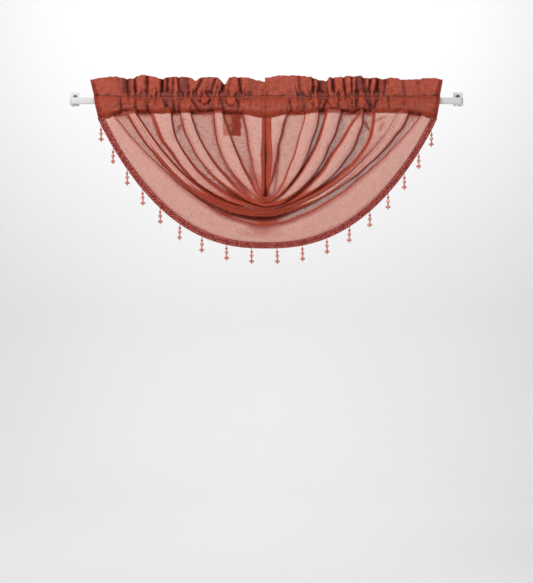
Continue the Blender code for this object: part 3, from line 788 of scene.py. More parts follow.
def dents(x, z):
    """Depth in metres of the short creases at each point."""
    depth = np.zeros_like(x)
    for row in as_dicts(DENT_COLUMNS, DENTS):
        turn = math.radians(row["turn"])
        dx, dz = x / MM - row["x"], z / MM - row["z"]
        a = dx * math.cos(turn) + dz * math.sin(turn)
        b = -dx * math.sin(turn) + dz * math.cos(turn)
        depth += row["depth"] * MM * bell(a / row["long"]) * bell(b / row["wide"], 1.4)
    return depth


def label_shade(x, z):
    """Painted shade on the cloth in front of the label's doubled half, in streaks."""
    across = (x - LABEL_LEFT) / LABEL_WIDTH
    down = (pocket_bottom(x, "left") - SEAM_GAP - z) / LABEL_HEIGHT
    inside = smooth((across - 0.48) / 0.06) * smooth((1 - across) / 0.03)
    inside = inside * smooth((1 - down) / 0.03)
    return inside * (LABEL_SHADE + STREAK_SHADE * np.sin(2 * np.pi * z / LABEL_STREAK))


def turn_width(fold, width):
    """Half the width of the turn in the cloth at a fold line, beside a band of that width."""
    wall = np.maximum(WALL_SHARE * end_value(fold, "wall"), WALL_LEAST)
    return np.minimum(wall, WALL_MOST * width)


def turn_line(away, soft):
    """1 along the dark line beside a turn, 0 elsewhere."""
    return bell((away - 0.85 * soft) / np.maximum(0.6 * MM, 0.3 * soft))


def narrow_turn(soft):
    """1 where the turn at a fold line is tight, 0 where it is wide and catches the light."""
    return 1 - smooth((soft - WIDE_TURN) / WIDE_TURN)


def band_between(number, folds, lines):
    """A band of the swag between two fold lines, with its values at each row."""
    band = SimpleNamespace(number=number, final=number == BANDS - 1)
    fold, band.a, band.b = folds[number], lines[number], lines[number + 1]
    band.width = width = np.linalg.norm(band.b - band.a, axis=1)
    band.soft = turn_width(fold, width)
    band.soft_in = turn_width(folds[number + 1], width)
    # The band before, this one and the band after
    numbers = np.clip((number - 1, number, number + 1), 0, BANDS - 1)
    band.levels = [end_value(folds[k], "forward") for k in numbers]
    band.backs = [np.clip(-level / BACK_DEPTH, 0, 1) for level in band.levels]
    here = band.levels[1]
    band.raised = smooth(0.5 + here / (2 * FULL_STEP))
    # Cloth stacked up where the band is narrower than at its widest
    widest = np.where(ON_LEFT, width[ON_LEFT].max(), width[~ON_LEFT].max())
    band.stack = fold["stack"] * np.clip(STACK_FROM * widest / width - 1.0, 0.0, STACK_MOST)
    hem = between(LEFT_HEM, RIGHT_HEM, smooth((ALONG - 0.44) / 0.12))
    band.hem = np.minimum(hem, 0.6 * width)
    way = np.gradient(band.a, axis=0)
    band.level_share = np.abs(way[:, 0]) / np.maximum(np.linalg.norm(way, axis=1), 1e-9)
    run = running(band.a)
    from_tip = np.abs(run - run[ROWS // 2])
    roll = MM * np.where(ON_LEFT, fold["left_roll"], fold["right_roll"])
    band.rolled = smooth((roll - from_tip) / ROLL_FADE) * (roll > 0)
    band.smooth_roll = band.rolled * (here > 0) * (fold["left_roll"] > WIDE_ROLL)
    band.at_tip = bell(from_tip / TIP_REACH) * (number >= BANDS - TIP_BANDS)
    return band


def column_offsets(band):
    """Where a band's columns lie across it; the last band has its hem's edge among them."""
    turn = np.linspace(0 * band.soft, band.soft, WALL_STEPS, endpoint=False)
    if band.final:
        hem = band.width - band.hem
        flat = np.linspace(band.soft, hem - HEM_EDGE, BAND_STEPS + 1)
        return [*turn, *flat, *np.linspace(hem + HEM_EDGE, band.width, HEM_STEPS + 1)]
    inner = band.width - band.soft_in
    flat = np.linspace(band.soft, inner, BAND_STEPS, endpoint=False)
    return [*turn, *flat, *np.linspace(inner, band.width, WALL_STEPS, endpoint=False)]


def across_turns(band, offset, values):
    """A value across a band, eased from the band before and into the band after."""
    before, here, after = values
    enter = smooth(0.5 + 0.5 * offset / band.soft)
    result = np.where(offset < band.soft, between(before, here, enter), here)
    inner = band.width - band.soft_in
    leave = smooth(0.5 * (offset - inner) / band.soft_in)
    last_part = (offset > inner) & (not band.final)
    return np.where(last_part, between(here, after, leave), result)


def column_shape(band, offset):
    """Points of one column, and the x and z it has before the folds stand out."""
    width, raised = band.width, band.raised
    inside = offset / width
    place = band.number + inside
    x, z = between(band.a, band.b, inside[:, None]).T
    # The outer edge lies flat under the braid
    loose = 1.0 if band.number else smooth((offset - TRIM_WIDTH) / TRIM_WIDTH)
    crest = np.minimum(CREST, CREST_MOST * width) * raised
    crest = crest - np.minimum(TROUGH, TROUGH_MOST * width) * (1 - raised)
    forward = across_turns(band, offset, band.levels)
    forward = forward + loose * crest * np.sin(np.pi * inside) ** 1.2 * (1 - 0.8 * band.smooth_roll)
    coarse = ripples(place * COARSE_ACROSS, ALONG * COARSE_ALONG, 7, 9, 30)
    wave = COARSE_RIPPLE * np.minimum(width / CALM_WIDTH, 1) * coarse
    wave += FINE_RIPPLE * ripples(x / MM, z / MM, 8, 7, 16)
    forward = forward + loose * smooth(FROM_END / 0.03) * wave
    forward = forward * between(POCKET_WAVE_SHARE, 1, smooth(FROM_END / 0.08)) - dents(x, z)
    pile = PILE * smooth((place - 0.5) / (BANDS - 0.5)) * MIDDLE**4
    points = np.column_stack((x, SWAG_Y - forward - pile, z - LEAN * MIDDLE**2 * forward))
    return points, x, z


def fold_shade(band, offset):
    """Painted shade of one column in the creases beside its folds."""
    before, here, after = band.levels
    inner = band.width - offset
    near = NEAR_SHADE * turn_line(offset, band.soft)
    far = turn_line(inner, band.soft_in) * narrow_turn(band.soft_in)
    far = far * (FAR_SHADE + FAR_LEVEL_SHADE * band.level_share)
    wide = smooth((band.width - NARROW_FROM) / (NARROW_TO - NARROW_FROM))
    narrow = NARROW_SHADE * (1 - wide)
    # Painted shadow under the next fold, which hangs over this band where it stands further forward
    hidden = LEAN * MIDDLE**2 * np.maximum(after - here, 0)
    below = np.maximum(inner - hidden, 0) / (CREASE_REACH * (1 + 4 * MIDDLE**14))
    under = (UNDER_SHADE + UNDER_TIP_SHADE * MIDDLE**10) * smooth((1.5 - below) / 0.9)
    under = under * band.level_share**2 * (not band.final)
    crest = CREST_SHADE * bell(offset / CREST_SHADE_REACH, 1) * smooth((here - before) / FULL_STEP)
    crest = crest * narrow_turn(band.soft) * (1 - MIDDLE**8)
    creases = np.maximum.reduce((near, far, narrow, under))
    return np.maximum((1 - band.raised) * creases, band.raised * crest)


def column_values(band, offset, x, z):
    """One column's layers, painted shade, share of lying far back and painted highlight."""
    before, here, after = band.levels
    inner = band.width - offset
    recess_shade = across_turns(band, offset, band.backs)
    enter = (1 - smooth(offset / band.soft)) * np.clip(np.abs(here - before) / FULL_STEP, 0, 1)
    leave = (1 - smooth(inner / band.soft_in)) * np.clip(np.abs(after - here) / FULL_STEP, 0, 1)
    # Painted shade in the dents, where troughs pass under the pockets, and in front of the label
    dent_shade = np.minimum(dents(x, z) / DARK_DENT, DENT_SHADE)
    at_seam = SEAM_SHADE * recess_shade * bell(FROM_END / SEAM_SHADE_REACH, 1)
    painted_shade = np.maximum.reduce((fold_shade(band, offset), dent_shade, at_seam, label_shade(x, z)))
    # On the wide roll an even painted shade replaces most crease shade; fold tips get painted shade
    # too
    painted_shade = painted_shade * (1 - 0.85 * band.smooth_roll)
    painted_shade = np.maximum.reduce((painted_shade, ROLL_DEEP * band.smooth_roll, TIP_DEEP * band.at_tip))
    layers = 1 + TURN_LAYERS * np.maximum(enter, leave) + DEEP_LAYERS * painted_shade + band.at_tip
    layers = layers + np.maximum(band.stack, ROLL_LAYERS * band.rolled)
    rim = 0 * ALONG
    if band.number == 0:
        layers = layers + EDGE_LAYERS * (1 - smooth(2.5 * offset / TRIM_WIDTH - 1.5))
    if band.final:
        in_hem = inner < band.hem + 0.1 * MM
        layers = layers + HEM_LAYERS * in_hem
        # The hem is painted darker; a painted highlight runs along its inner edge near the loop
        painted_shade = np.maximum(painted_shade, HEM_DEEP * in_hem)
        rim = bell((z - RIM_HEIGHT) / RIM_TALL) * (inner < RIM_WIDTH)
    return layers, painted_shade * (1 - rim), recess_shade, RIM_LIGHT * rim


def swag_points():
    """The swag's surface as a grid, and the values that its cloth's looks follow."""
    folds = as_dicts(FOLD_COLUMNS, FOLDS)
    lines = wobbled(np.array([fold_line(fold, ROWS) for fold in folds]))
    columns, values = [], []
    for number in range(BANDS):
        band = band_between(number, folds, lines)
        for offset in column_offsets(band):
            points, x, z = column_shape(band, offset)
            columns.append(points)
            values.append(column_values(band, offset, x, z))
    # The left hem passes behind the right one; its hidden strip has painted shade, darker lower
    # down
    left = smooth((0.504 - ALONG) / 0.006)
    edge = columns[-1]
    layers, _, recess_shade, _ = values[-1]
    reach = OVERLAP + 2 * slit_half(lines[-1][:, 1])
    hidden = between(0.6, 1.0, smooth((MIDDLE - 0.25) / 0.4))
    for k in range(1, OVERLAP_STEPS + 1):
        q = k / OVERLAP_STEPS
        back = OVERLAP_BACK * q**0.5 * between(0.25, 1, left)
        columns.append(edge + np.column_stack((reach * q * left, back, 0 * ALONG)))
        values.append((layers, hidden, recess_shade, 0 * ALONG))
    padded = np.pad(np.array(values), ((0, 0), (0, 0), (SEAM_ROWS, SEAM_ROWS)), mode="edge")
    named = dict(zip(("layers", "painted_shade", "recess_shade", "proud"), padded.transpose(1, 0, 2)))
    # The rows inside the seam get painted shade and more layers
    for key, least in (("painted_shade", DEEP_IN_SEAM), ("layers", LAYERS_IN_SEAM)):
        for rows in (slice(None, SEAM_ROWS), slice(-SEAM_ROWS, None)):
            named[key][:, rows] = np.maximum(named[key][:, rows], least)
    return with_seam_rows(np.array(columns)), named


def with_seam_rows(grid):
    """The sheet with a few more rows at each end, which run up inside the heading's seam."""
    rise = np.zeros((1, SEAM_ROWS, 3))
    rise[0, :, 2] = SEAM_RISE * np.arange(1, SEAM_ROWS + 1) / SEAM_ROWS
    return np.concatenate((grid[:, :1] + rise[:, ::-1], grid, grid[:, -1:] + rise), axis=1)


def make_swag(mat):
    """The swag's cloth, and the points of both its ends at the pockets' seams."""
    points, values = swag_points()
    values["lean"] = lean_of(points)
    seams = points[: points.shape[0] - OVERLAP_STEPS, [SEAM_ROWS, -1 - SEAM_ROWS]]
    return grid_mesh("swag_voile", points, mat, cloth_lengths(points), values), seams


def gathers(h, face):
    """Depth of the gathers on one face: the listed creases and many small ones."""
    x, look = h.x / MM, FACES[face]
    in_ruffle = h.z > STITCH_RISE
    up = np.clip((h.z - STITCH_RISE) / GATHER_REACH, 0, 1)
    down = np.clip((STITCH_RISE - h.z) / GATHER_REACH, 0, 1)
    far = np.maximum(up, down)
    depth = np.zeros_like(x)
    for row in as_dicts(CREASE_COLUMNS, CREASES[h.side]):
        line = between(row["stitch"], np.where(in_ruffle, row["top"], row["low"]), far)
        size = np.where(in_ruffle, row["ruffle"] * look["ruffle"], row["pocket"] * look["pocket"])
        depth += size * bell((x - line) / row["width"], LISTED_POWER)
    draw = random.Random(look["seed"] + (h.side == "left"))
    for _ in range(SMALL_CREASES):
        at = draw.uniform(*h.ends) / MM
        slant = draw.uniform(-14, 14)
        width = draw.uniform(1.2, 3.4)
        size = draw.uniform(0.8, 3.0) * liveliness(h, at)
        reach_up, reach_down = draw.uniform(0.15, 1.0), draw.uniform(0.2, 1.0)
        fade = smooth(1 - far / np.where(in_ruffle, reach_up, reach_down))
        depth += size * bell((x - at - slant * (up - down)) / width, SMALL_POWER) * fade
    for _ in range(PINCHES):
        at = draw.uniform(*h.ends) / MM
        spread = draw.uniform(4, 14) * draw.choice((-1, 1))
        size = draw.uniform(1.8, 4.6) * liveliness(h, at)
        reach = draw.uniform(0.3, 0.9)
        for lean in (spread, -0.6 * spread):
            away = (x - at - lean * far / reach) / PINCH_WIDTH
            depth += size * bell(away, SMALL_POWER) * smooth(1 - far / reach)
    return depth * MM


def liveliness(h, at):
    """Size of small creases at a place in mm across: less where the heading is calm."""
    return 1 - float(spots(CALM[h.side], np.array(at * MM)))


def spots(rows, x):
    """Sum of bells across the heading from a table of places."""
    total = np.zeros_like(x)
    for row in as_dicts(SPOT_COLUMNS, rows):
        total += row["strength"] * bell((x / MM - row["across"]) / row["half"], 4)
    return total


def puffs(h):
    """Raised lozenges between gathers: their share, 1 at each one's middle, and their rims."""
    x, z = h.x / MM, h.z / MM
    total, rims = np.zeros_like(x), np.zeros_like(x)
    shift = 2.0 * ripples(x, z, 71, 14, 30)
    for row in as_dicts(PUFF_COLUMNS, PUFFS[h.side]):
        across = np.abs(x - row["across"] + shift) / row["half"]
        along = np.abs(z - row["z"]) / row["tall"]
        share = smooth(1.3 * (1.2 - across**1.3 - along**1.3))
        total += row["strength"] * share
        rims += row["strength"] ** 2 * bell((share - 0.2) / 0.13) * (share > 0)
    return total, rims * np.clip(0.7 + 0.6 * ripples(x, z, 72, 9, 22), 0, 1.2)


def blurred(field, across, along):
    """A field softened along both directions by a bell of that many grid steps."""
    result = field
    for axis, size in ((0, along), (1, across)):
        reach = int(3 * size)
        weights = np.exp(-0.5 * (np.arange(-reach, reach + 1) / size) ** 2)
        weights /= weights.sum()
        pad = [(0, 0), (0, 0)]
        pad[axis] = (reach, reach)
        padded = np.pad(result, pad, mode="edge")
        result = np.apply_along_axis(np.convolve, axis, padded, weights, mode="valid")
    return result


def pocket_base(h, face, z, low):
    """How far forward the pocket's plain shape stands, before its gathers."""
    if face == "front":
        at_seam, near_seam = h.seam + 0.7 * MM, np.maximum(h.seam + 3.4 * MM, 8.0 * MM)
        body = (POCKET_WALL + POCKET_PUCKER, POCKET_WALL + 0.8 * POCKET_PUCKER, POCKET_WALL)
    else:
        at_seam, near_seam = h.seam - 0.7 * MM, np.minimum(h.seam - 3.4 * MM, -3.0 * MM)
        body = (-POCKET_WALL,) * 3
    near_z = between(low, POCKET_LOW, 0.45)
    places = (low, near_z, POCKET_LOW, POCKET_HIGH, POCKET_TOP, STITCH_RISE)
    return knots(z, places, (at_seam, near_seam, *body, FACES[face]["stitch"]))


def heading_grid(side, seam_points):
    """Where a heading's points lie across and up, counted outward from the centre."""
    sign = -1 if side == "left" else 1
    tops = np.array(RUFFLE[side])[:, 0] * MM
    order = np.argsort(sign * seam_points[:, 0])
    seam_x = sign * seam_points[order, 0]
    span = tops.max() - tops.min()
    t = np.linspace(0, 1, int(span / HEADING_STEP))
    tuck = np.zeros_like(t)
    if side == "left":
        # The left heading passes behind the right one
        t = np.concatenate((np.linspace(-OVERLAP / span, 0, TUCK_STEPS)[:-1], t))
        tuck = smooth(-t * span / OVERLAP) * TUCK_DEPTH
    top_x = tops.min() + span * t
    low_x = between(seam_x[0], seam_x[-1], t)
    top_z = table_curve(RUFFLE[side], top_x / MM) * MM
    top_z += RUFFLE_WAVE * ripples(top_x / MM, 0 * top_x, 3, 5, 16, 8)
    low_z = table_curve(SEAM[side], low_x / MM) * MM
    pocket = np.linspace(0, 1, POCKET_ROWS, endpoint=False)[:, None]
    ruffle = np.linspace(0, 1, RUFFLE_ROWS)[:, None]
    z = np.vstack((between(low_z, STITCH_RISE, pocket), between(STITCH_RISE, top_z, ruffle)))
    return SimpleNamespace(
        side=side,
        sign=sign,
        ends=(tops.min(), tops.max()),
        t=t,
        tuck=tuck,
        seam=np.interp(low_x, seam_x, ROD_Y - seam_points[order, 1]),
        low_z=low_z,
        x=low_x + (top_x - low_x) * (z - low_z) / (top_z - low_z),
        z=z,
        r=np.vstack((pocket + 0 * t, ruffle + 0 * t)),
        in_pocket=np.arange(len(z))[:, None] < POCKET_ROWS,
    )


def heading_faces(h, puff, rim, window):
    """How far forward both layers stand, the front's gathers and its hollows."""
    x, z, r, in_pocket = h.x, h.z, h.r, h.in_pocket
    low = h.low_z.mean()
    flat_z = np.where(in_pocket, between(low, STITCH_RISE, r), z)
    close = smooth((1 - r) / 0.06)
    crumple = FINE_CRUMPLE * ripples(x / MM, z / MM, 5, 7, 18)
    crumple += COARSE_CRUMPLE * ripples(x / MM, z / MM, 6, 16, 38)
    before_rod = in_pocket & (np.abs(z) < POCKET_TOP + ROD_MARGIN)
    relief = RUFFLE_RELIEF * smooth((z - STITCH_RISE) / RELIEF_RISE)
    base = {}
    for face, look in FACES.items():
        lean = between(RUFFLE_LEAN, look["stitch"] + RUFFLE_LEAN * smooth(r * 0.8), close)
        base[face] = np.where(in_pocket, pocket_base(h, face, flat_z, low), lean)

    fold = gathers(h, "front") * (1 - 0.7 * np.minimum(puff, 1))
    front = base["front"] + RUFFLE_PUFF * window * ~in_pocket - fold * window + crumple
    front = front + (PUFF_RISE * puff - PUFF_RIM * rim) * window
    front = np.maximum(front, FRONT_LIMIT - relief)
    front = np.where(before_rod, np.maximum(front, ROD_DEPTH / 2 + ROD_COVER), front)
    hollow = blurred(front, *HOLLOW_BLUR) - front

    behind, flat = gathers(h, "back"), base["back"]
    loose = np.minimum(flat - behind * 0.4 + crumple * 0.4, flat + POCKET_LOOSE)
    back = np.where(in_pocket, loose, flat - behind * window + crumple)
    back = np.maximum(back, BACK_LIMIT - relief)
    back = np.where(in_pocket, back, np.minimum(back, front - LAYER_GAP * close))
    return front, back, fold, hollow


def heading_points(h):
    """A strip of cloth folded double round the rod: up the front, over the top, down the back."""
    x, z, r, in_pocket = h.x, h.z, h.r, h.in_pocket
    # How freely the gathers stand out: less beside the seam and the stitches
    in_middle = between(0.15, 1, smooth(r / 0.10)) * between(1, 0.5, smooth((r - 0.82) / 0.18))
    window = np.where(in_pocket, in_middle, between(0.4, 1, smooth(r / 0.25)))
    puff, rim = puffs(h)
    front, back, fold, hollow = heading_faces(h, puff, rim, window)
    front = np.stack((h.sign * x, ROD_Y - front + h.tuck, z), axis=-1)
    back = np.stack((h.sign * x, ROD_Y - back + 0.3 * h.tuck, z), axis=-1)[::-1]

    # Painted shade: creases, seam, stitch line, hollows, holes; painted highlight on ridges and
    # puffs
    crease = smooth((fold - CREASE_START) / CREASE_DARK) * np.where(in_pocket, window, 1)
    seam_shade = np.where(in_pocket, 0.2 + 0.35 * smooth((0.3 - r) / 0.3), 0.0)
    stitch_and_hollow_shade = bell((z - STITCH_RISE) / STITCH_SINK) * (0.28 + 0.3 * ripples(x / MM, 0 * x, 9, 6, 30))
    stitch_and_hollow_shade = stitch_and_hollow_shade + 0.95 * smooth((hollow - HOLLOW_START) / HOLLOW_DEPTH)
    painted_shade = np.clip(0.6 * crease + seam_shade + stitch_and_hollow_shade, 0, HEADING_DEEPEST)
    painted_shade = np.maximum(painted_shade, spots(HOLES[h.side], x) * bell((z - h.low_z) / HOLE_RISE, 1))
    proud = smooth(-hollow / HOLLOW_DEPTH) * np.where(in_pocket, smooth((r - 0.2) / 0.25), 1)
    # Grey painted shade where the ruffle's layers part; the back face gets half of each value
    parting_shade = spots(PARTING_SHADE[h.side], x) * ~in_pocket * smooth((z - STITCH_RISE) / PARTING_SHADE_RISE)
    values = {"painted_shade": painted_shade, "proud": proud + 0.5 * puff, "recess_shade": parting_shade}
    for key, value in values.items():
        values[key] = np.concatenate((value, value[::-1] * 0.5)).T
    return np.concatenate((front, back)).transpose(1, 0, 2), values


def make_heading(side, seam_points, mat):
    """One heading's cloth and its grid of points."""
    h = heading_grid(side, seam_points)
    points, values = heading_points(h)
    hem = smooth((h.t - 0.975) / 0.004)[:, None]
    values["lean"] = np.clip(lean_of(points), 1, 3)
    values["layers"] = np.ones(points.shape[:2]) + hem
    return grid_mesh("heading_%s_voile" % side, points, mat, cloth_lengths(points), values), points


def stitches(name, path, mat):
    """A row of short stitches along a path of points, standing a little proud of the cloth."""
    run = running(path)

    def point_at(length):
        return Vector([np.interp(length, run, path[:, k]) for k in range(3)])

    bm = bmesh.new()
    for start in np.arange(STITCH_SPACE, run[-1] - STITCH_LENGTH, STITCH_LENGTH + STITCH_SPACE):
        rings = []
        for share, size in STITCH_FORM:
            at = start + STITCH_LENGTH * share
            centre = point_at(at)
            way = (point_at(at + 0.2 * MM) - centre).normalized()
            side = way.cross(Vector((0, -1, 0))).normalized()
            out = side.cross(way).normalized()
            centre += Vector((0, -STITCH_PROUD * size, 0))
            arm = STITCH_RADIUS * size
            rings.append(ring_of(bm, centre, side * arm, out * arm, STITCH_SIDES))
        closed(bm, rings)
    obj = solid_mesh(name, bm, [mat])
    obj.data.shade_smooth()
    return obj


def edge_path(count):
    """The swag's outer edge and its outward normals."""
    edge = fold_line(dict(zip(FOLD_COLUMNS, FOLDS[0])), count)
    along = np.gradient(edge, axis=0)
    along /= np.linalg.norm(along, axis=1)[:, None]
    return edge, np.column_stack((along[:, 1], -along[:, 0]))


def make_trim(mat):
    """Gimp: two rows of slanting cords that meet in the middle, with a corded edge on each side."""
    edge, out = edge_path(TRIM_ROWS)
    phase = 2 * np.pi * running(edge) / TRIM_PITCH
    back = SWAG_Y - CLOTH_THICKNESS / 2 - GAP
    across = list(np.linspace(0, 1, TRIM_COLUMNS))
    columns, reliefs = [], []
    for o in across + [1.0, 0.5, 0.0, 0.0]:
        slant = np.abs(o - 0.5) * 2
        cords = np.abs(np.sin(phase / 2 + np.pi * 1.1 * slant))
        edge_cord = bell((slant - 0.9) / 0.1) * (0.6 + 0.4 * np.sin(phase * 1.5))
        relief = 0.25 + 0.75 * cords * (slant < 0.86) + edge_cord * (slant >= 0.8)
        relief = np.clip(relief, 0, 1.1) * (1 - 0.55 * bell(slant / 0.1))
        wave = TRIM_WAVE * np.sin(phase * 1.5) * (slant > 0.95)
        inward = CLOTH_SETBACK - TRIM_WIDTH * o - wave * (1 if o > 0.5 else -1)
        x, z = (edge + out * inward[:, None]).T
        bottom = np.where(x < 0, pocket_bottom(x, "left"), pocket_bottom(x, "right"))
        z = np.minimum(z, bottom - 2 * GAP)
        y = np.full_like(x, back)
        if len(columns) < len(across):
            rim = smooth((1 - slant) / 0.12)
            y -= (0.5 + 0.5 * rim) * TRIM_THICKNESS * (0.55 + 0.75 * relief)
        else:
            relief = np.full_like(x, 0.3)
        columns.append(np.column_stack((x, y, z)))
        reliefs.append(relief)
    points = np.array(columns)
    # The relief also sets the braid's painted highlight and painted shade
    values = {"relief": np.array(reliefs)}
    return grid_mesh("braid_gimp", points, mat, cloth_lengths(points), values)


def add_ring_solid(bm, profile, sides, centre, slot, turned=0.0):
    """A turned bead: profile rows are (height, radius) in mm about a centre in mm."""
    rings = []
    for height, radius in profile:
        middle = (Vector(centre) + Vector((0, 0, height))) * MM
        arm = radius * MM
        rings.append(ring_of(bm, middle, Vector((arm, 0, 0)), Vector((0, arm, 0)), sides, turned))
    for face in closed(bm, rings):
        face.material_index = slot


def ball(radius, rings):
    """Profile of a round bead with its thread hole."""
    rows = []
    for k in range(rings + 1):
        turn = math.pi * (0.08 + 0.84 * k / rings)
        rows.append((-radius * math.cos(turn), radius * math.sin(turn)))
    return rows


def make_drop(number, place, mats):
    """Beads on a thread: seed, bicone, faceted ball, seed, a cluster of three and a tip bead."""
    draw = random.Random(100 + number)
    bm = bmesh.new()
    add_ring_solid(bm, THREAD, 6, (0, 0, 0), SEWING)
    for height, size, slot in SEED_BEADS:
        add_ring_solid(bm, ball(size, 4), 8, (0, 0, -height), slot)
    add_ring_solid(bm, BICONE, 8, (0, 0, -7.6), RUST, draw.random())
    add_ring_solid(bm, ball(4.4, 6), 10, (0, 0, -16.6), ROSE, draw.random())
    spread = draw.uniform(-0.35, 0.35)
    for dx in (-3.7, 3.7):
        centre = (dx * math.cos(spread), dx * math.sin(spread), -29.4)
        add_ring_solid(bm, ball(2.6, 5), 8, centre, ROSE, draw.random())
    add_ring_solid(bm, ball(3.4, 6), 8, (0, -0.6, -28.4), RUST, draw.random())
    add_ring_solid(bm, ball(2.5, 5), 8, (0, -0.2, -32.0), ROSE, draw.random())
    add_ring_solid(bm, TIP_BEAD, 8, (0, 0, -34.6), RUST)
    drop = solid_mesh("bead_drop_%02d" % number, bm, mats)
    swing = Matrix.Rotation(math.radians(draw.uniform(-2.0, 2.0)), 4, "Y")
    twist = Matrix.Rotation(math.radians(draw.uniform(-25, 25)), 4, "Z")
    drop.data.transform(Matrix.Translation(place) @ swing @ twist)
    return drop


def drop_top(node):
    """Where a drop hangs, in its CAD node's place."""
    low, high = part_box(node)
    return Vector(((low.x + high.x) / 2, (low.y + high.y) / 2, high.z))


def make_label(mat):
    """Blank ribbon label as one sheet hanging down behind the cloth, leaning back and bowed."""
    u = np.linspace(0, 1, LABEL_GRID[0])[:, None]
    v = np.linspace(0, 1, LABEL_GRID[1])[None, :]
    x = LABEL_LEFT + LABEL_WIDTH * u + 0 * v
    z = pocket_bottom(x, "left") - SEAM_GAP - LABEL_HEIGHT * v
    y = ROD_Y + LABEL_BEHIND_ROD + LABEL_TILT * np.sin(np.pi / 2 * v) + 0 * u
    y = y + LABEL_BOW * np.sin(np.pi * u) * v
    y = y + LABEL_RIPPLE * ripples(x / MM, z / MM, 21, 14, 40)
    points = np.stack((x, y, z), axis=-1)
    return grid_mesh("blank_label", points, mat, cloth_lengths(points))


def rod_stations():
    """Middle line of the rod seen from above, as (x, y, direction)."""
    half = ROD_LENGTH / 2 - ROD_DEPTH / 2
    stations = [(-half, -(PLATE_THICKNESS + GAP), -math.pi / 2)]
    for step in range(13):
        turn = math.pi / 2 * step / 12
        x = -half + ROD_BEND_RADIUS * (1 - math.cos(turn))
        y = ROD_Y + ROD_BEND_RADIUS * (1 - math.sin(turn))
        stations.append((x, y, turn - math.pi / 2))
    return stations + [(-x, y, -turn) for x, y, turn in reversed(stations)]


def channel_section():
    """Rolled channel, open toward the wall: (depth toward the room, height) round its sheet."""
    half_depth, half_height = ROD_DEPTH / 2, ROD_HEIGHT / 2
    outer = [(-half_depth, half_height - ROD_LIP), (-half_depth, half_height - CHANNEL_BEND)]
    for a, b, start in ((-1, 1, 180), (1, 1, 90), (1, -1, 0), (-1, -1, -90)):
        for step in range(6):
            turn = math.radians(start - 90 * step / 5)
            d = a * (half_depth - CHANNEL_BEND) + CHANNEL_BEND * math.cos(turn)
            h = b * (half_height - CHANNEL_BEND) + CHANNEL_BEND * math.sin(turn)
            outer.append((d, h))
    outer.append((-half_depth, -half_height + ROD_LIP))
    thinner, lower = 1 - ROD_WALL / half_depth, 1 - ROD_WALL / half_height
    return outer + [(d * thinner, h * lower) for d, h in reversed(outer)]


def make_rod(mat):
    """The rod as a rolled channel with both ends bent back to the wall."""
    section = channel_section()
    bm = bmesh.new()
    rings = []
    for x, y, turn in rod_stations():
        side = Vector((math.sin(turn), -math.cos(turn), 0))
        rings.append([bm.verts.new(Vector((x, y, h)) + side * d) for d, h in section])
    skin(bm, rings)
    n = len(section)
    for ring in (rings[0], rings[-1]):
        for k in range(n // 2 - 1):
            bm.faces.new((ring[k], ring[k + 1], ring[n - 2 - k], ring[n - 1 - k]))
    obj = solid_mesh("rod_channel", bm, [mat])
    obj.data.shade_smooth()
    obj.data.set_sharp_from_angle(angle=math.radians(40))
    return obj


def area_light(name, place, target, size, power, colour=(1, 1, 1)):
    """A soft rectangular lamp aimed at a point."""
    data = bpy.data.lights.new(name, "AREA")
    data.shape = "RECTANGLE"
    data.size, data.size_y = size
    data.energy = power
    data.color = colour
    obj = linked(name, data)
    obj.location = place
    obj.rotation_euler = (Vector(target) - Vector(place)).to_track_quat("-Z", "Y").to_euler()


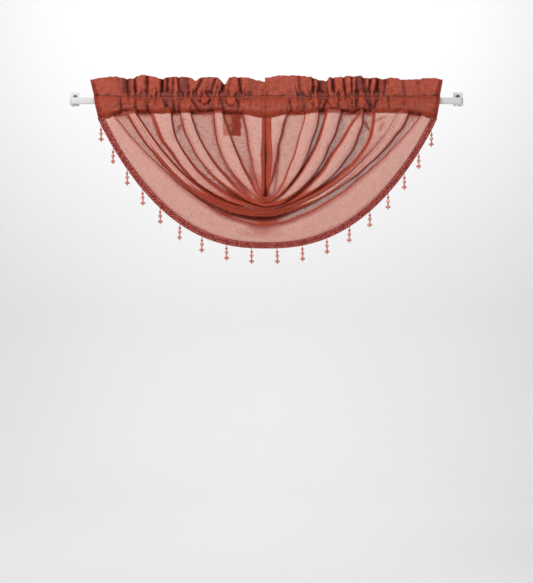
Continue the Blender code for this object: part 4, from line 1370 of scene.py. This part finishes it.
def studio():
    """Pale floor that sweeps up into a pale backdrop, soft lamps and the front camera."""
    profile = [(SWEEP_FRONT_Y, FLOOR_Z), (WALL_Y - SWEEP_BEND, FLOOR_Z)]
    for step in range(1, 13):
        turn = math.pi / 2 * step / 12
        y = WALL_Y - SWEEP_BEND + SWEEP_BEND * math.sin(turn)
        profile.append((y, FLOOR_Z + SWEEP_BEND - SWEEP_BEND * math.cos(turn)))
    profile.append((WALL_Y, SWEEP_TOP_Z))
    points = np.array([[(x, y, z) for y, z in profile] for x in (-SWEEP_HALF, SWEEP_HALF)])
    g = Graph("pale_sweep")
    cloud = g.noise(g.place(), 1.2)
    colour = g.mix(cloud, (0.80, 0.80, 0.808, 1), (0.835, 0.835, 0.842, 1))
    g.finish(Base_Color=colour, Roughness=0.9)
    grid_mesh("sweep", points, g.mat)

    scene = bpy.context.scene
    scene.world = bpy.data.worlds.new("studio")
    scene.world.use_nodes = True
    background = scene.world.node_tree.nodes["Background"].inputs
    background["Color"].default_value = (0.87, 0.87, 0.88, 1)
    background["Strength"].default_value = 0.38
    area_light("key", (-1.7, -2.1, 1.3), (0, 0, -0.15), (0.8, 0.8), 58, (1.0, 0.98, 0.96))
    area_light("fill", (2.2, -2.4, 0.3), (0, 0, -0.2), (1.6, 1.6), 20)
    area_light("back", (0, 1.3, 2.0), (0, 3.4, -0.5), (3.6, 0.8), 66)

    data = bpy.data.cameras.new("front_camera")
    data.sensor_width = SENSOR
    data.lens = SENSOR * CAMERA_DISTANCE / FRAME_WIDTH
    data.clip_start, data.clip_end = 0.05, 50
    scene.camera = linked("front_camera", data)
    scene.camera.location = (0, ROD_Y - CAMERA_DISTANCE, CAMERA_Z)
    scene.camera.rotation_euler = (math.pi / 2, 0, 0)
    scene.view_settings.view_transform = "Standard"
    scene.cycles.transparent_max_bounces = 48


def dress(obj, node):
    """Put a piece on the valance's body, in place of its CAD node."""
    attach(obj, "root")
    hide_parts(node)


def build():
    """The whole scene: studio, cloths, braid, drops, label, rod and the metal's looks."""
    studio()
    swag_cloth = voile("rust_voile", 0.69, *SWAG_COLOURS)
    heading_cloth = voile("rust_voile_double", 0.80, *HEADING_COLOURS)
    gimp = braid()
    rose = bead("rose_acrylic", (0.78, 0.31, 0.23), 0.3)
    rust = bead("rust_acrylic", (0.60, 0.16, 0.11), 0.2)
    sewing = thread("rust_thread", (0.16, 0.022, 0.016))

    swag, seams = make_swag(swag_cloth)
    dress(swag, "swag")
    seam_rows = []
    for side, seam in (("left", seams[:, 0]), ("right", seams[:, 1])):
        cloth, strip = make_heading(side, seam, heading_cloth)
        dress(cloth, "heading_" + side)
        line = strip[:, POCKET_ROWS] + np.array((0, -STITCH_PROUD, 0))
        seam_rows.append(stitches("stitches_" + side, line, sewing))

    trim = make_trim(gimp)
    dress(trim, "trim")
    drops = []
    for number in range(1, DROPS + 1):
        node = "drop_%02d" % number
        drops.append(make_drop(number, drop_top(node), [rose, rust, sewing]))
        dress(drops[-1], node)
    label = make_label(ribbon())
    dress(label, "care_label")

    rod = make_rod(enamel("rod_enamel", (0.70, 0.69, 0.68)))
    dress(rod, "rod")
    for piece in seam_rows:
        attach(piece, "root")
    looks = {"bracket_": enamel("bracket_enamel", (0.80, 0.80, 0.80), 0.08), "screw_": steel()}
    for side in ("left", "right"):
        for name, look in looks.items():
            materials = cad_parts[name + side].data.materials
            materials.clear()
            materials.append(look)


build()
bpy.context.view_layer.update()
